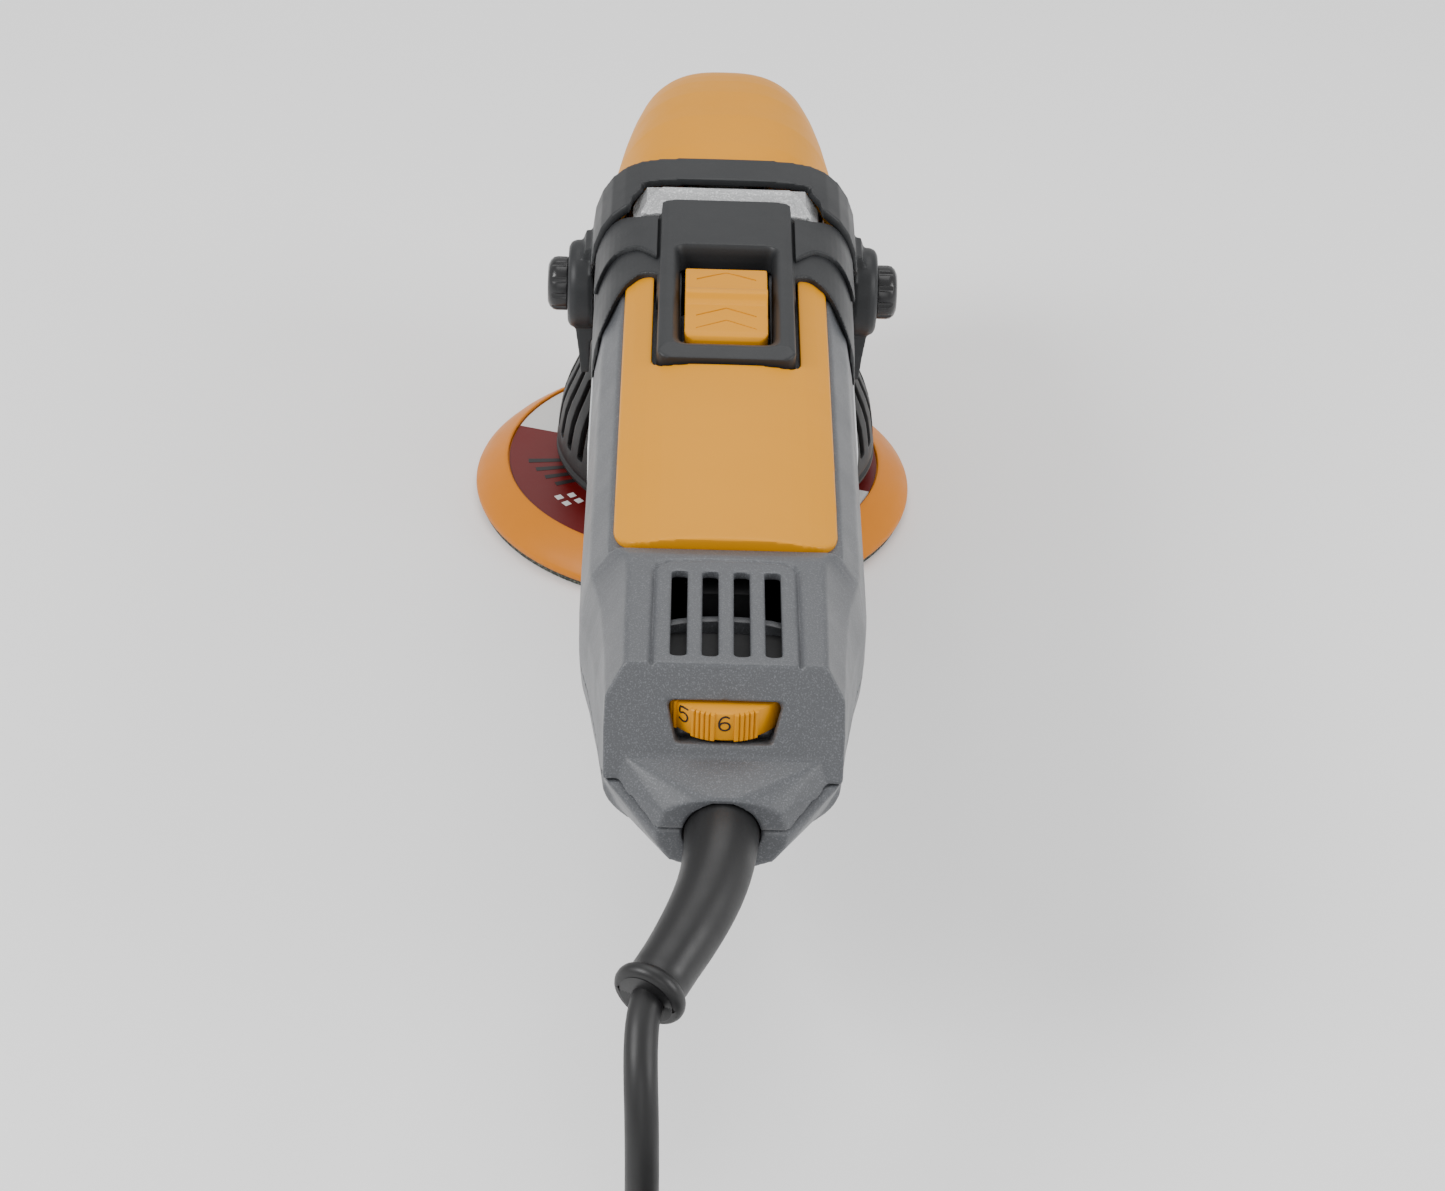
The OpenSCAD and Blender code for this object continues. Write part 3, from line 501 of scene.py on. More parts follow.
def make_strain_relief():
    """Tapered rubber sleeve with a rounded lip where the cord comes out."""
    path = curve_points(RELIEF, 5)
    n = len(path)
    end, along = path[-1], (path[-1] - path[-3]).normalized()
    centres = path[:n - 3]
    radii = [10.1 - 2.3 * min(1, 1.25 * i / n) for i in range(len(centres))]
    lip = [(-2.6, 7.6), (-2.2, 7.8), (-1.7, 8.7), (-1.0, 9.3), (-0.1, 9.6), (0.9, 9.6), (1.8, 9.2),
           (2.4, 8.4), (2.6, 7.4), (2.2, 6.6), (1.2, 6.2), (0.2, 5.6), (-1.5, 5.0)]
    centres += [end + along * q for q, r in lip]
    radii += [r for q, r in lip]
    ob = tube("relief", centres, radii, 40)
    smooth(paint(ob, "black"), 50)
    place(ob, "strain_relief_sleeve", "housing", "black_rubber", "strain_relief")


# ---------- motor housing ----------
# y, width, side top z, shoulder x, shoulder z, top edge x, top edge z, centre z, rounding
UPPER = [
    [-53, 39.5, 107, 37.0, 120.5, 30.8, 129.2, 134.2, 5],
    [-238, 39.5, 107, 37.0, 120.5, 30.8, 129.2, 134.0, 5],
    [-245, 39.2, 107, 36.4, 121.0, 30.0, 130.4, 133.5, 3],
    [-251, 38.6, 108, 35.2, 121.4, 26.4, 132.4, 133.3, 2],
    [-262, 36.4, 111, 33.2, 122.6, 26.0, 132.9, 133.0, 1.6],
    [-284, 33.3, 114, 31.6, 123.8, 26.0, 133.0, 133.0, 1.4],
    [-303, 31.2, 116, 30.9, 124.4, 25.8, 133.0, 133.0, 1.4],
    [-330, 30.4, 116, 30.2, 124.4, 25.0, 133.0, 133.0, 1.4]]
# y, width and depth of the lower half, which is an ellipse in section
LOWER = [[-53, 39.5, 39], [-240, 39.4, 39], [-262, 36.6, 38], [-275, 35.0, 34.5], [-290, 32.6, 28],
         [-303, 31, 18], [-330, 29, 14]]
WALL = 2.6


def body_ring(y, t=0):
    """Section of the motor housing at y, drawn in by t all round."""
    w, zb, xc, zc, xd, zd, ze, r = blend_rows(UPPER, y)
    _, depth = blend_rows(LOWER, y)
    half = [(0, ze - t), (xd - t * 0.4, zd - t), (xc - t * 0.9, zc - t * 0.6), (w - t, zb), (w - t, MOTOR_Z)]
    top = rounded([(-half[2][0], half[2][1])] + half + [(0, MOTOR_Z)],
                  [0, 0, r * 1.2 + 0.3, max(r, 3), 8 + r / 2, 0, 0], 8)[18:-9]
    under = [((w - t) * cos(radians(a)), MOTOR_Z - (depth - t) * sin(radians(a))) for a in range(9, 91, 9)]
    half = top + under
    return [(x, y, z) for x, z in half] + [(-x, y, z) for x, z in half[-2:0:-1]]


def steep(z):
    """y of the sloping rear face at height z."""
    return -303 - (133 - z) * 0.417


def parting(shift):
    """Outline in y and z of everything above the line where the housing's halves meet."""
    line = [(-20, MOTOR_Z), (-298, MOTOR_Z), (-313.6, 104.2), (-315.2, 104.0), (-325.6, 95.4), (-345, 95.4)]
    return [(y, z + shift) for y, z in line] + [(-345, 160), (-20, 160)]


def housing_body():
    """Solid of the motor housing: lofted, cut off by the sloping rear face, with a tail round the cord."""
    ys = [-53, -60] + list(range(-80, -240, -20))
    ys += [-240 - 2.5 * k for k in range(26)] + [-312, -320, -330]
    body = loft("body", [body_ring(y) for y in ys])
    behind = [(-298.83, 143), (-314.8, 104.7), (-303.5, 100), (-303.5, 40), (-400, 40), (-400, 143)]
    cut(body, prism("back", behind, -60, 60, "x"))
    low = [(30.9, -302, 104), (30.9, -302, 95), (27.4, -302, 87), (21, -302, 81.6), (12, -302, 78.4),
           (0, -302, 77), (30.4, -314.4, 104.6), (26.4, -314.4, 97), (21, -311, 86), (16.9, -325, 95.3),
           (16.2, -325, 91), (13.2, -325, 86.8), (8.6, -325, 85.1)]
    high = [(25.5, -312.4, 110.2), (24.8, -300, 110.2), (27.3, -315.1, 103.9), (26, -300, 100),
            (16.9, -324.9, 95.3), (14.9, -325, 101.9), (11.5, -325, 104), (7, -325, 105.6),
            (2.5, -325, 106.3)]
    add(body, hull("low", [(s * x, y, z) for s in (1, -1) for x, y, z in low]),
        hull("high", [(s * x, y, z) for s in (1, -1) for x, y, z in high]))
    return body


def cavity():
    """Hollow of the motor housing."""
    ys = [-56, -120, -200, -240, -250, -262, -275, -288, -299]
    return loft("inner", [body_ring(y, WALL) for y in ys])


# the speed dial: middle of its window, slope of the face, and the wheel's radius, stand-out and height
DIAL_C = Vector((0, -309, 118.6))
DIAL_TILT = Matrix.Rotation(radians(-22.65), 4, "X")
DIAL_R, DIAL_OUT, DIAL_H = 17.0, 2.4, 8.6


def to_face(ob):
    """From the sloping face's own frame to its place."""
    ob.data.transform(DIAL_TILT)
    ob.data.transform(Matrix.Translation(DIAL_C * MM))
    return ob


def to_wheel(ob):
    """The wheel lies flat, behind its window, with its rim standing out a little."""
    ob.data.transform(Matrix.Translation((DIAL_C + Vector((0, DIAL_R - DIAL_OUT, 0))) * MM))
    return ob


def dial_cutters():
    """The window in the sloping face, tapering inwards, and the pocket that the wheel turns in."""
    wide = [(-15.2, 6.1), (15.2, 6.1), (12.6, -5.4), (-12.6, -5.4)]
    tight = [(-14.4, 4.4), (14.4, 4.4), (12.0, -5.0), (-12.0, -5.0)]
    rings = []
    for y, mix in ((-4, 0), (0.05, 0), (1.3, 0.6), (4.6, 1), (8, 1)):
        pts = [(lerp(a[0], b[0], mix), lerp(a[1], b[1], mix)) for a, b in zip(wide, tight)]
        rings.append([(x, y, z) for x, z in rounded(pts, 0.9, 4)])
    window = to_face(loft("window", rings))
    r, h = DIAL_R + 0.9, DIAL_H / 2 + 0.9
    pocket = to_wheel(lathe("pocket", [(0, -h), (r, -h), (r, h), (0, h)], 72))
    return window, pocket


def ribbon(name, path, width, height):
    """A bar of rectangular section along a flat path of (x, y), standing from height[0] to height[1]."""
    rings = []
    for i, p in enumerate(path):
        a, b = Vector(path[max(i - 1, 0)]), Vector(path[min(i + 1, len(path) - 1)])
        t = (b - a).normalized()
        n = Vector((-t.y, t.x)) * width / 2
        p = Vector(p)
        low, high = height
        rings.append([(*(p + n), low), (*(p + n), high), (*(p - n), high), (*(p - n), low)])
    return loft(name, rings)


SLOTS, SLOT_STEP = 4, 8.2  # of the grille
RELIEF_BORE = 10.0
PARTING_GAP = 0.25  # either side of the line where the halves meet


def make_housing():
    body = housing_body()
    cut(body, cavity())
    window, pocket = dial_cutters()
    cut(body, pocket, window)
    cut(body, rod(RELIEF_BORE, -330, -308, (0, MOTOR_Z), "y", 48), box(-13.4, 13.4, -140, -72, 118, 150))
    for k in range(SLOTS):
        x = (k - (SLOTS - 1) / 2) * SLOT_STEP
        slot = [(x - 2.1, -299), (x + 2.1, -299), (x + 2.1, -259), (x - 2.1, -259)]
        cut(body, prism("slot", rounded(slot, 0.9, 4), 118, 140))
    # raised surround of the grille, with a channel round it
    arc = [(-19.2, -304), (-19.2, -290), (-19.0, -270), (-18.9, -258.4), (-18.0, -255.6), (-15.6, -254.2),
           (-8, -253.2), (0, -252.9)]
    arc = arc + [(-x, y) for x, y in arc[-2::-1]]
    cut(body, ribbon("channel", arc, 1.3, (131.9, 137)))
    # engraved pointer above the dial
    tri = [(-2.9, 131.0), (2.9, 131.0), (0, 124.3)]
    for a, b in zip(tri, tri[1:] + tri[:1]):
        d = Vector((b[0] - a[0], b[1] - a[1])).normalized() * 0.3
        n = Vector((-d.y, d.x))
        pts = [(a[0] - d.x + n.x, a[1] - d.y + n.y), (b[0] + d.x + n.x, b[1] + d.y + n.y),
               (b[0] + d.x - n.x, b[1] + d.y - n.y), (a[0] - d.x - n.x, a[1] - d.y - n.y)]
        cut(body, hull("line", [(x, steep(z) + dy, z) for x, z in pts for dy in (-1, 0.45)]))
    # shallow channel that the top panel's edge sits in
    wedge = ((31.3, 128), (31.3, 150), (20, 131.5))
    cut(body, prism("seat", panel_outline(0.7), 131.9, 150),
        hull("seat", [(s * x, y, z) for s in (1, -1) for x, z in wedge for y in (-244.6, -40)]))
    lower = copy(body)
    cut(lower, prism("above", parting(-PARTING_GAP), -60, 60, "x"))
    keep(body, prism("above", parting(PARTING_GAP), -60, 60, "x"))
    moulded(body, 0.5, 3, 0.4)
    moulded(lower, 0.7, 3, 0.4)
    # screw pockets underneath
    for x, y in ((33, -91), (31.5, -232), (25, -283)):
        for s in (1, -1):
            cut(lower, rod(3.6, 40, 77, (s * x, y)))
    place(smooth(paint(body, "grey"), 40), "housing_top_shell", "housing", "grey_plastic", "upper_housing")
    smooth(paint(lower, "grey"), 40)
    place(lower, "housing_bottom_shell", "housing", "grey_plastic", "lower_housing")
    # curved brace seen through the grille
    bend = [(-17, -276.5), (-12, -274.6), (-6, -273.4), (0, -273), (6, -273.4), (12, -274.6), (17, -276.5)]
    brace = ribbon("brace", bend, 2.6, (119, 127))
    place(smooth(edged(paint(brace, "grey"), 0.3)), "grille_brace", "housing", "grey_plastic")
    # dark cover that hides the front of the dial wheel from the grille
    shelf = box(-17, 17, -294, -276.4, 123.4, 124.4)
    place(paint(shelf, "inside"), "wheel_cover", "housing", "black_plastic")


def panel_outline(grow=0.0):
    """Plan of the orange panel, with its rear corners rounded."""
    x, front, rear = 30.5 + grow, -60 + grow, -244 - grow
    return rounded([(-x, front), (-x, rear), (x, rear), (x, front)], [0, 10, 10, 0], 10)


def make_panel():
    top = [(0, 135.3), (6, 135.25), (12, 134.95), (18, 134.2), (23, 133.0), (27, 131.5), (30.6, 129.7)]
    rings = []
    for y in [-58, -150, -180] + list(range(-190, -247, -6)) + [-246]:
        drop = 1.9 * ease((-180 - y) / 64)
        half = [(x, z - drop * (1 - 0.45 * (x / 30.6) ** 2)) for x, z in top]
        section = half + [(32, 122), (-32, 122)] + [(-x, z) for x, z in half[:0:-1]]
        rings.append([(x, y, z) for x, z in section])
    panel = loft("panel", rings)
    keep(panel, prism("plan", panel_outline(), 110, 150))
    notch = rounded([(-21.8, -40), (21.8, -40), (21.8, -151.4), (-21.8, -151.4)], [0, 0, 5, 5], 8)
    cut(panel, prism("notch", notch, 110, 150))
    cut(panel, loft("inner", [body_ring(y, 2.2) for y in (-247, -243, -238, -40)]))
    moulded(panel, 0.5, 4, 0.3)
    place(smooth(paint(panel, "orange"), 40), "top_cover", "housing", "orange_plastic", "top_panel")


# ---------- switch surround, shoulders and button ----------
def super_ring(y, half_w, z0, z1, n=3.6, count=72):
    """Rounded-square section at y; the greater n, the squarer."""
    zc, h = (z0 + z1) / 2, (z1 - z0) / 2
    out = []
    for k in range(count):
        a = 2 * pi * k / count
        c, s = cos(a), sin(a)
        u, v = math.copysign(abs(c) ** (2 / n), c), math.copysign(abs(s) ** (2 / n), s)
        out.append((half_w * u, y, zc + h * v))
    return out


def make_bezel():
    sections = ((-116, 40.3, 135.4), (-96, 40.7, 136.4), (-80, 40.9, 136.8), (-52.8, 41.0, 137))
    shoulder = loft("shoulder", [super_ring(y, w, 54, z) for y, w, z in sections])
    plan = [(-20.5, -61.5), (-27, -60), (-34, -54.6), (-45, -52.8), (-45, -98), (-38.5, -113), (-33, -101),
            (-30.6, -97.4), (-25.5, -93.6), (-20.5, -96.8)]
    plan = rounded(plan, [0, 3, 6, 0, 14, 4, 6, 4, 3, 0], 6)
    wing = prism("wing", plan, 100, 142)
    add(wing, prism("wing", [(-x, y) for x, y in plan][::-1], 100, 142),
        box(-21, 21, -110, -52.8, 100, 142))
    keep(shoulder, wing)
    # frame round the button's recess
    rim = rounded([(-20.4, -38), (20.4, -38), (20.4, -150.6), (-20.4, -150.6)], [0, 0, 4, 4], 10)
    frame_block = prism("rim", rim, 122, 138.7)
    crown = [(0, 138.9), (12, 138.8), (18.2, 138.4), (20.0, 137.6), (20.7, 136.2), (21, 120), (0, 120)]
    keep(frame_block, prism("crown", crown + [(-x, z) for x, z in crown[-2:0:-1]], -160, -52.9, "y"))
    chamfer = ((-143.6, 139.2), (-150.9, 136.4), (-155, 135), (-155, 150), (-143.6, 150))
    cut(frame_block, hull("chamfer", [(x, y, z) for x in (-30, 30) for y, z in chamfer]))
    add(shoulder, frame_block)
    well = [(-14.1, -84), (14.1, -84), (13.6, -139.2), (-13.6, -139.2)]
    deep = prism("well", rounded(well, [2, 2, 2.5, 2.5], 6), 110, 150)
    # the recess widens upwards: height, growth at the sides, growth at the tail end
    slope = [(133.0, 0.0, 0), (135.6, 0.3, 1.2), (136.6, 0.7, 3.0), (137.6, 1.2, 5.0), (138.4, 2.0, 7.4),
             (139.6, 3.2, 8.8), (142, 5.4, 9.6)]
    rings = []
    for z, g, f in slope:
        front, rear = -84 + g * 0.5, -139.2 - f
        pts = [(-14.1 - g, front), (14.1 + g, front), (13.8 + g, rear), (-13.8 - g, rear)]
        rings.append([(x, y, z) for x, y in rounded(pts, [2 + g, 2 + g, 2.6 + g, 2.6 + g], 6)])
    cut(shoulder, deep, loft("slope", rings))
    cut(shoulder, prism("barrel", [(x * 1.004, z + 0.1) for x, _, z in body_ring(-100)], -170, -40, "y"))
    moulded(shoulder, 0.5, 3, 0.35)
    place(smooth(paint(shoulder, "dark"), 42), "switch_surround", "housing", "dark_grip", "switch_bezel")
    # second skin of each shoulder: the raised petal
    petal = [(-21.2, -61.2), (-27, -59.6), (-34, -54.2), (-43, -52.4), (-43, -82), (-34, -76),
             (-27, -79.4), (-21.2, -88)]
    for s in (1, -1):
        pts = rounded([(s * -x, y) for x, y in petal], [0, 3, 6, 0, 3, 6, 5, 0], 6)
        p = prism("petal", pts, 118, 142)
        keep(p, loft("skin", [super_ring(y, 42.0, 53.6, 138.2) for y in (-90, -52)]))
        cut(p, loft("in", [super_ring(y, 40.6, 54, 136.4) for y in (-92, -50)]))
        moulded(p, 0.35, 3, 0.4)
        name = f"shoulder_petal_{'right' if s > 0 else 'left'}"
        place(smooth(paint(p, "dark"), 40), name, "housing", "dark_grip")


def make_button():
    prof = [(-136.6, 131.6), (-136.6, 134.4), (-135.9, 135.6), (-134, 136.3), (-126, 136.8),
            (-118.6, 137.0), (-116.8, 137.9), (-115.2, 139.2), (-113.8, 139.5), (-112.2, 139.2),
            (-110.6, 137.9), (-108.6, 137.1), (-100, 137.1), (-95.6, 136.7), (-94.2, 135.9),
            (-93.6, 134.6), (-93.6, 131.6)]
    ob = prism("button", prof, -12.5, 12.5, "x")
    plan = [(-12.4, -136.5), (12.4, -136.5), (12.4, -93.7), (-12.4, -93.7)]
    keep(ob, prism("plan", rounded(plan, 2.6, 6), 120, 145))
    add(ob, box(-5, 5, -118, -98, 125.6, 132))
    moulded(ob, 0.35, 2, 0.35)
    # arrow lines pointing to the nose
    for tip in (-98.3, -120.6, -127.6):
        for s in (1, -1):
            pts = []
            for x, y in ((0, tip), (s * 9, tip - 4.6)):
                for dz, e in ((139.5, 2.6), (136.1, 0.3)):
                    pts += [(x, y - e * 0.45, dz), (x, y + e * 0.45, dz)]
            cut(ob, hull("line", pts))
    place(smooth(paint(ob, "orange"), 40), "slide_switch", "switch", "orange_plastic", "switch_button")


# ---------- speed dial: each digit is drawn as strokes of (x, y) points ----------
DIGITS = {
    "1": [[(-1.1, 1.5), (0.3, 2.3), (0.3, -2.3)]],
    "2": [[(-1.4, 1.3), (-0.9, 2.1), (0, 2.35), (1.0, 2.1), (1.4, 1.3), (1.1, 0.5), (-1.4, -2.2),
           (1.5, -2.2)]],
    "3": [[(-1.3, 1.7), (-0.5, 2.3), (0.6, 2.25), (1.3, 1.5), (1.0, 0.5), (0, 0.15), (1.1, -0.3),
           (1.45, -1.2), (0.9, -2.1), (-0.2, -2.35), (-1.4, -1.7)]],
    "4": [[(0.8, -2.3), (0.8, 2.3), (-1.6, -1.0), (1.6, -1.0)]],
    "5": [[(1.3, 2.2), (-1.0, 2.2), (-1.2, 0.2), (-0.1, 0.6), (0.9, 0.3), (1.4, -0.7), (1.0, -1.9),
           (0, -2.35), (-1.3, -1.8)]],
    "6": [[(1.1, 2.0), (0.2, 2.35), (-0.8, 1.8), (-1.4, 0.4), (-1.35, -1.2), (-0.7, -2.1), (0.3, -2.3),
           (1.2, -1.7), (1.35, -0.7), (0.9, 0.1), (0, 0.35), (-1.0, -0.1), (-1.35, -0.9)]],
}
NUMERALS, NUMERAL_STEP = 6, 40  # how many, and degrees between them


def make_dial():
    section = [(3.1, -4.3), (15.8, -4.3), (16.2, -4.0), (16.4, -3.4), (16.4, 3.4), (16.2, 4.0),
               (15.6, 4.3), (3.1, 4.3)]
    ob = lathe("wheel", section, 144)
    ribs = []
    for k in range(NUMERALS + 1):
        for j in (-2, -1, 0, 1, 2):
            a = radians(-90 - (k - 0.5) * NUMERAL_STEP + j * 4.6)
            pts = []
            for r, w, h in ((15, 0.66, 4.28), (16.7, 0.56, 4.2), (17.0, 0.3, 3.9)):
                for dw in (-w, w):
                    for dh in (-h, h):
                        pts.append((r * cos(a) - dw * sin(a), r * sin(a) + dw * cos(a), dh))
            ribs.append(hull("rib", pts))
    add(ob, *ribs)
    edged(ob, 0.12, 1, 50)
    inks = []
    for k in range(NUMERALS):
        digit = str(NUMERALS - k)
        for stroke in DIGITS[digit]:
            path = [Vector(p) for p in stroke] if digit in "14" else curve_points(stroke, 3)
            for a, b in zip(path, path[1:]):
                d = (b - a).normalized() * 0.24
                n = Vector((-d.y, d.x))
                quad = [a - d + n, b + d + n, b + d - n, a - d - n]
                pts = []
                for r in (16.1, 16.52):
                    for q in quad:
                        u = radians(-90 - k * NUMERAL_STEP + q.x * 3.4)
                        pts.append((r * cos(u), r * sin(u), q.y * 0.9 + 1.3))
                inks.append(hull("ink", pts))
    ink = join(inks, "dial_numerals")
    for o, m in ((ob, "orange"), (ink, "ink")):
        to_wheel(o)
        smooth(paint(o, m), 30)
    place(ob, "speed_wheel", "dial", "orange_plastic", "speed_dial")
    place(ink, "dial_numerals", "dial", "black_plastic")


def join(obs, name):
    bm = bmesh.new()
    for o in obs:
        bm.from_mesh(o.data)
        gone(o)
    me = bpy.data.meshes.new(name)
    bm.to_mesh(me)
    bm.free()
    return link(name, me)


# ---------- gear head ----------
def make_head():
    """Bright lip of the gear case that shows between the band and the switch surround."""
    lip = [(21.4, -44, 137.9), (26.2, -59.6, 136.3), (30, -58, 131), (28.5, -44, 131), (26, -59.6, 128),
           (26, -44, 128), (21, -59.6, 137.2)]
    head = hull("lip", [(s * x, y, z) for s in (1, -1) for x, y, z in lip])
    edge = [(-26.0, -59.4), (-24.2, -53), (-21.4, -46.6), (-19.8, -45.4), (19.8, -45.4), (21.4, -46.6),
            (24.2, -53), (26.0, -59.4)]
    back = [(-20.8, -58.4), (-20.8, -52.4), (20.8, -52.4), (20.8, -58.4)]
    add(head, ribbon("rim", edge, 1.7, (132, 138.8)), ribbon("back", back, 1.4, (132, 138.3)))
    slope = ((-60, 136.9), (-44, 138.8), (-44, 120), (-60, 120))
    keep(head, hull("slope", [(x, y, z) for x in (-31, 31) for y, z in slope]))
    moulded(head, 0.35, 2, 0.5)
    place(smooth(paint(head, "cast"), 35), "casting_lip", "housing", "cast_aluminium")


# y, half width and top of each section of the nose hood
HOOD = [[-25.4, 38.4, 137.6], [-12, 38.5, 138.8], [8, 38.2, 139.3], [28, 35.9, 138.4], [40, 34.2, 136.8],
        [47, 33, 135.3], [53, 32.1, 133.6], [58, 31, 131.6], [62, 30, 129.4], [66, 28.6, 126.5],
        [70, 26.9, 122.6], [73, 25.2, 118.5], [76, 22.6, 112.6], [78, 20.2, 107.4], [80, 16, 99.5],
        [81.2, 11.5, 93.5]]
HOOD_POWER = 2.7  # how square the hood's section is


def hood_ring(y, w, top, t=0.0, bottom=62.8):
    """Section of the hood at y, drawn in by t: an arch down to z 90, then straight sides."""
    w, top = w - t, top - t
    n = HOOD_POWER
    out = []
    for k in range(25):
        a = radians(90 - 3.75 * k)
        z = 90 + (top - 90) * sin(a) ** (2 / n) if sin(a) > 0 else 90
        out.append((w * max(cos(a), 0) ** (2 / n), y, z))
    out += [(w, y, lerp(90, bottom, q)) for q in (0.33, 0.66, 0.94)] + [(w - 0.9, y, bottom)]
    return out + [(-x, y, z) for x, _, z in out[:0:-1]]


def make_hood():
    outer = loft("hood", [hood_ring(y, w, z) for y, w, z in HOOD])
    hollow = [[-30, 38.4, 137.4]] + [[y - (2 if y > 50 else 0), w, z] for y, w, z in HOOD[1:-1]]
    inner = loft("inner", [hood_ring(y, w, z, 2.3, 55) for y, w, z in hollow])
    cut(outer, inner, rod(42.4, 40, 65.0, sides=96))
    moulded(outer, 0.6, 4, 0.35)
    place(smooth(paint(outer, "hood"), 50), "nose_cover", "housing", "orange_plastic", "head_hood")
    # black ring at the neck, under the hood
    base = lathe("base", [(36.5, 60.4), (43.6, 60.4), (43.6, 62.6), (36.5, 62.6)], 96)
    place(smooth(paint(base, "inside"), 30), "neck_seal", "housing", "black_rubber")


# outer and inner outline of the bracket's band, right half, as (x, z)
BAND_OUT = [(0, 139.8), (10, 139.75), (20, 139.3), (27, 138.1), (32, 135.9), (36.2, 132.4), (39.4, 127.6),
            (41.6, 121.4), (42.5, 114), (42.6, 104), (42.6, 90), (41.9, 90), (41.9, 80)]
BAND_IN = [(0, 137.2), (10, 137.15), (19.4, 136.8), (25.8, 135.6), (30.6, 133.4), (34.4, 130),
           (37.7, 125.2), (40.1, 119.4), (41.5, 113), (41.7, 80)]
YOKE_Y, KNOB_Z = -33.0, 97.0


def make_yoke():
    outline = BAND_OUT + BAND_IN[:0:-1] + [(0, 137.2)]
    band = prism("band", outline, YOKE_Y - 7.5, YOKE_Y + 7.5, "y")
    other = copy(band, mirror=True)
    arm = [(40.6, 114), (44.6, 113), (47.6, 104), (48.4, 98), (48, 88), (46.4, 76), (45.6, 68), (43, 68),
           (42, 88)]
    ear_section = [(0, 41.8), (13.6, 41.8), (14.3, 43), (14.3, 47.6), (13.6, 49.2), (12.2, 50.0), (0, 50.0)]
    notch = ((20, -60), (31.4, -60), (29.4, -48), (24, -40))
    under = ((-40, 98), (-40, 102), (-54, 116), (-60, 116), (-60, 98))
    parts = []
    for s in (1, -1):
        pts = [(s * x, z) for x, z in arm]
        parts.append(prism("arm", pts if s > 0 else pts[::-1], YOKE_Y - 7.2, YOKE_Y + 7.2, "y"))
        ear = lathe("ear", ear_section)
        ear.data.transform(Matrix.Rotation(radians(90 * s), 4, "Y"))
        ear.data.transform(Matrix.Translation(Vector((0, YOKE_Y, KNOB_Z)) * MM))
        parts.append(ear)
    for s in (1, -1):
        flare = [(s * x, z) for x, z in BAND_OUT[3:10] + BAND_IN[8:2:-1]]
        f = prism("flare", flare if s > 0 else flare[::-1], -53.4, -39, "y")
        cut(f, hull("notch", [(s * x, y, z) for x, y in notch for z in (120, 150)]),
            hull("under", [(s * x, y, z) for x in (20, 60) for y, z in under]))
        parts.append(f)
    add(band, other, *parts)
    keep(band, box(-60, 60, -53.5, YOKE_Y + 14.4, 60, 139.9))
    inside = BAND_IN + [(41.7, 40), (-41.7, 40)] + [(-x, z) for x, z in BAND_IN[:0:-1]]
    cut(band, prism("in", inside, YOKE_Y - 20, YOKE_Y + 20, "y"))
    cut(band, rod(4.4, -60, 60, (YOKE_Y, KNOB_Z), "x", 48))
    moulded(band, 0.5, 3, 0.35)
    place(smooth(paint(band, "dark"), 40), "handle_bracket", "housing", "dark_grip", "handle_yoke")


FLUTES = 10  # round each handle screw


def make_knobs():
    section = [(0, 49.9), (8.2, 49.9), (8.7, 50.4), (8.75, 53.6), (8.5, 54.8), (7.6, 55.9), (6.1, 56.6),
               (3.0, 56.75), (0, 56.75)]
    for s, body, node in ((-1, "knob_l", "knob_left"), (1, "knob_r", "knob_right")):
        ob = lathe("knob", section)
        add(ob, rod(3.4, 33, 50.2))
        for k in range(FLUTES):
            a = 2 * pi * (k + 0.5) / FLUTES
            cut(ob, rod(1.25, 50.6, 70, (9.35 * cos(a), 9.35 * sin(a)), sides=20))
        cut(ob, rod(2.4, 54.4, 70, sides=6))
        edged(ob, 0.22, 2, 35)
        ob.data.transform(Matrix.Rotation(radians(90 * s), 4, "Y"))
        ob.data.transform(Matrix.Translation(Vector((0, YOKE_Y, KNOB_Z)) * MM))
        name = f"handle_screw_{'left' if s < 0 else 'right'}"
        place(smooth(paint(ob, "gloss_black"), 35), name, body, "black_plastic", node)


def make_badges():
    for s in (1, -1):
        pts = rounded([(-150, 87), (-75, 87), (-75, 105), (-150, 105)], 2.5, 5)
        ob = prism("badge", pts, 39.52, 40.1, "x")
        if s < 0:
            ob.data.transform(Matrix.Scale(-1, 4, (1, 0, 0)))
            ob.data.flip_normals()
        edged(ob, 0.15, 2, 40)
        name, stands_for = f"side_plate_{'right' if s > 0 else 'left'}", ["side_badges"] if s > 0 else []
        place(smooth(paint(ob, "badge"), 30), name, "housing", "silver_plate", *stands_for)


# ---------- shroud and pad ----------
SHROUD_SLOTS = 40
PAD_X = -7.5  # the pad's axis stands off the spindle's
LABEL_IN, LABEL_OUT = 31, 63.5


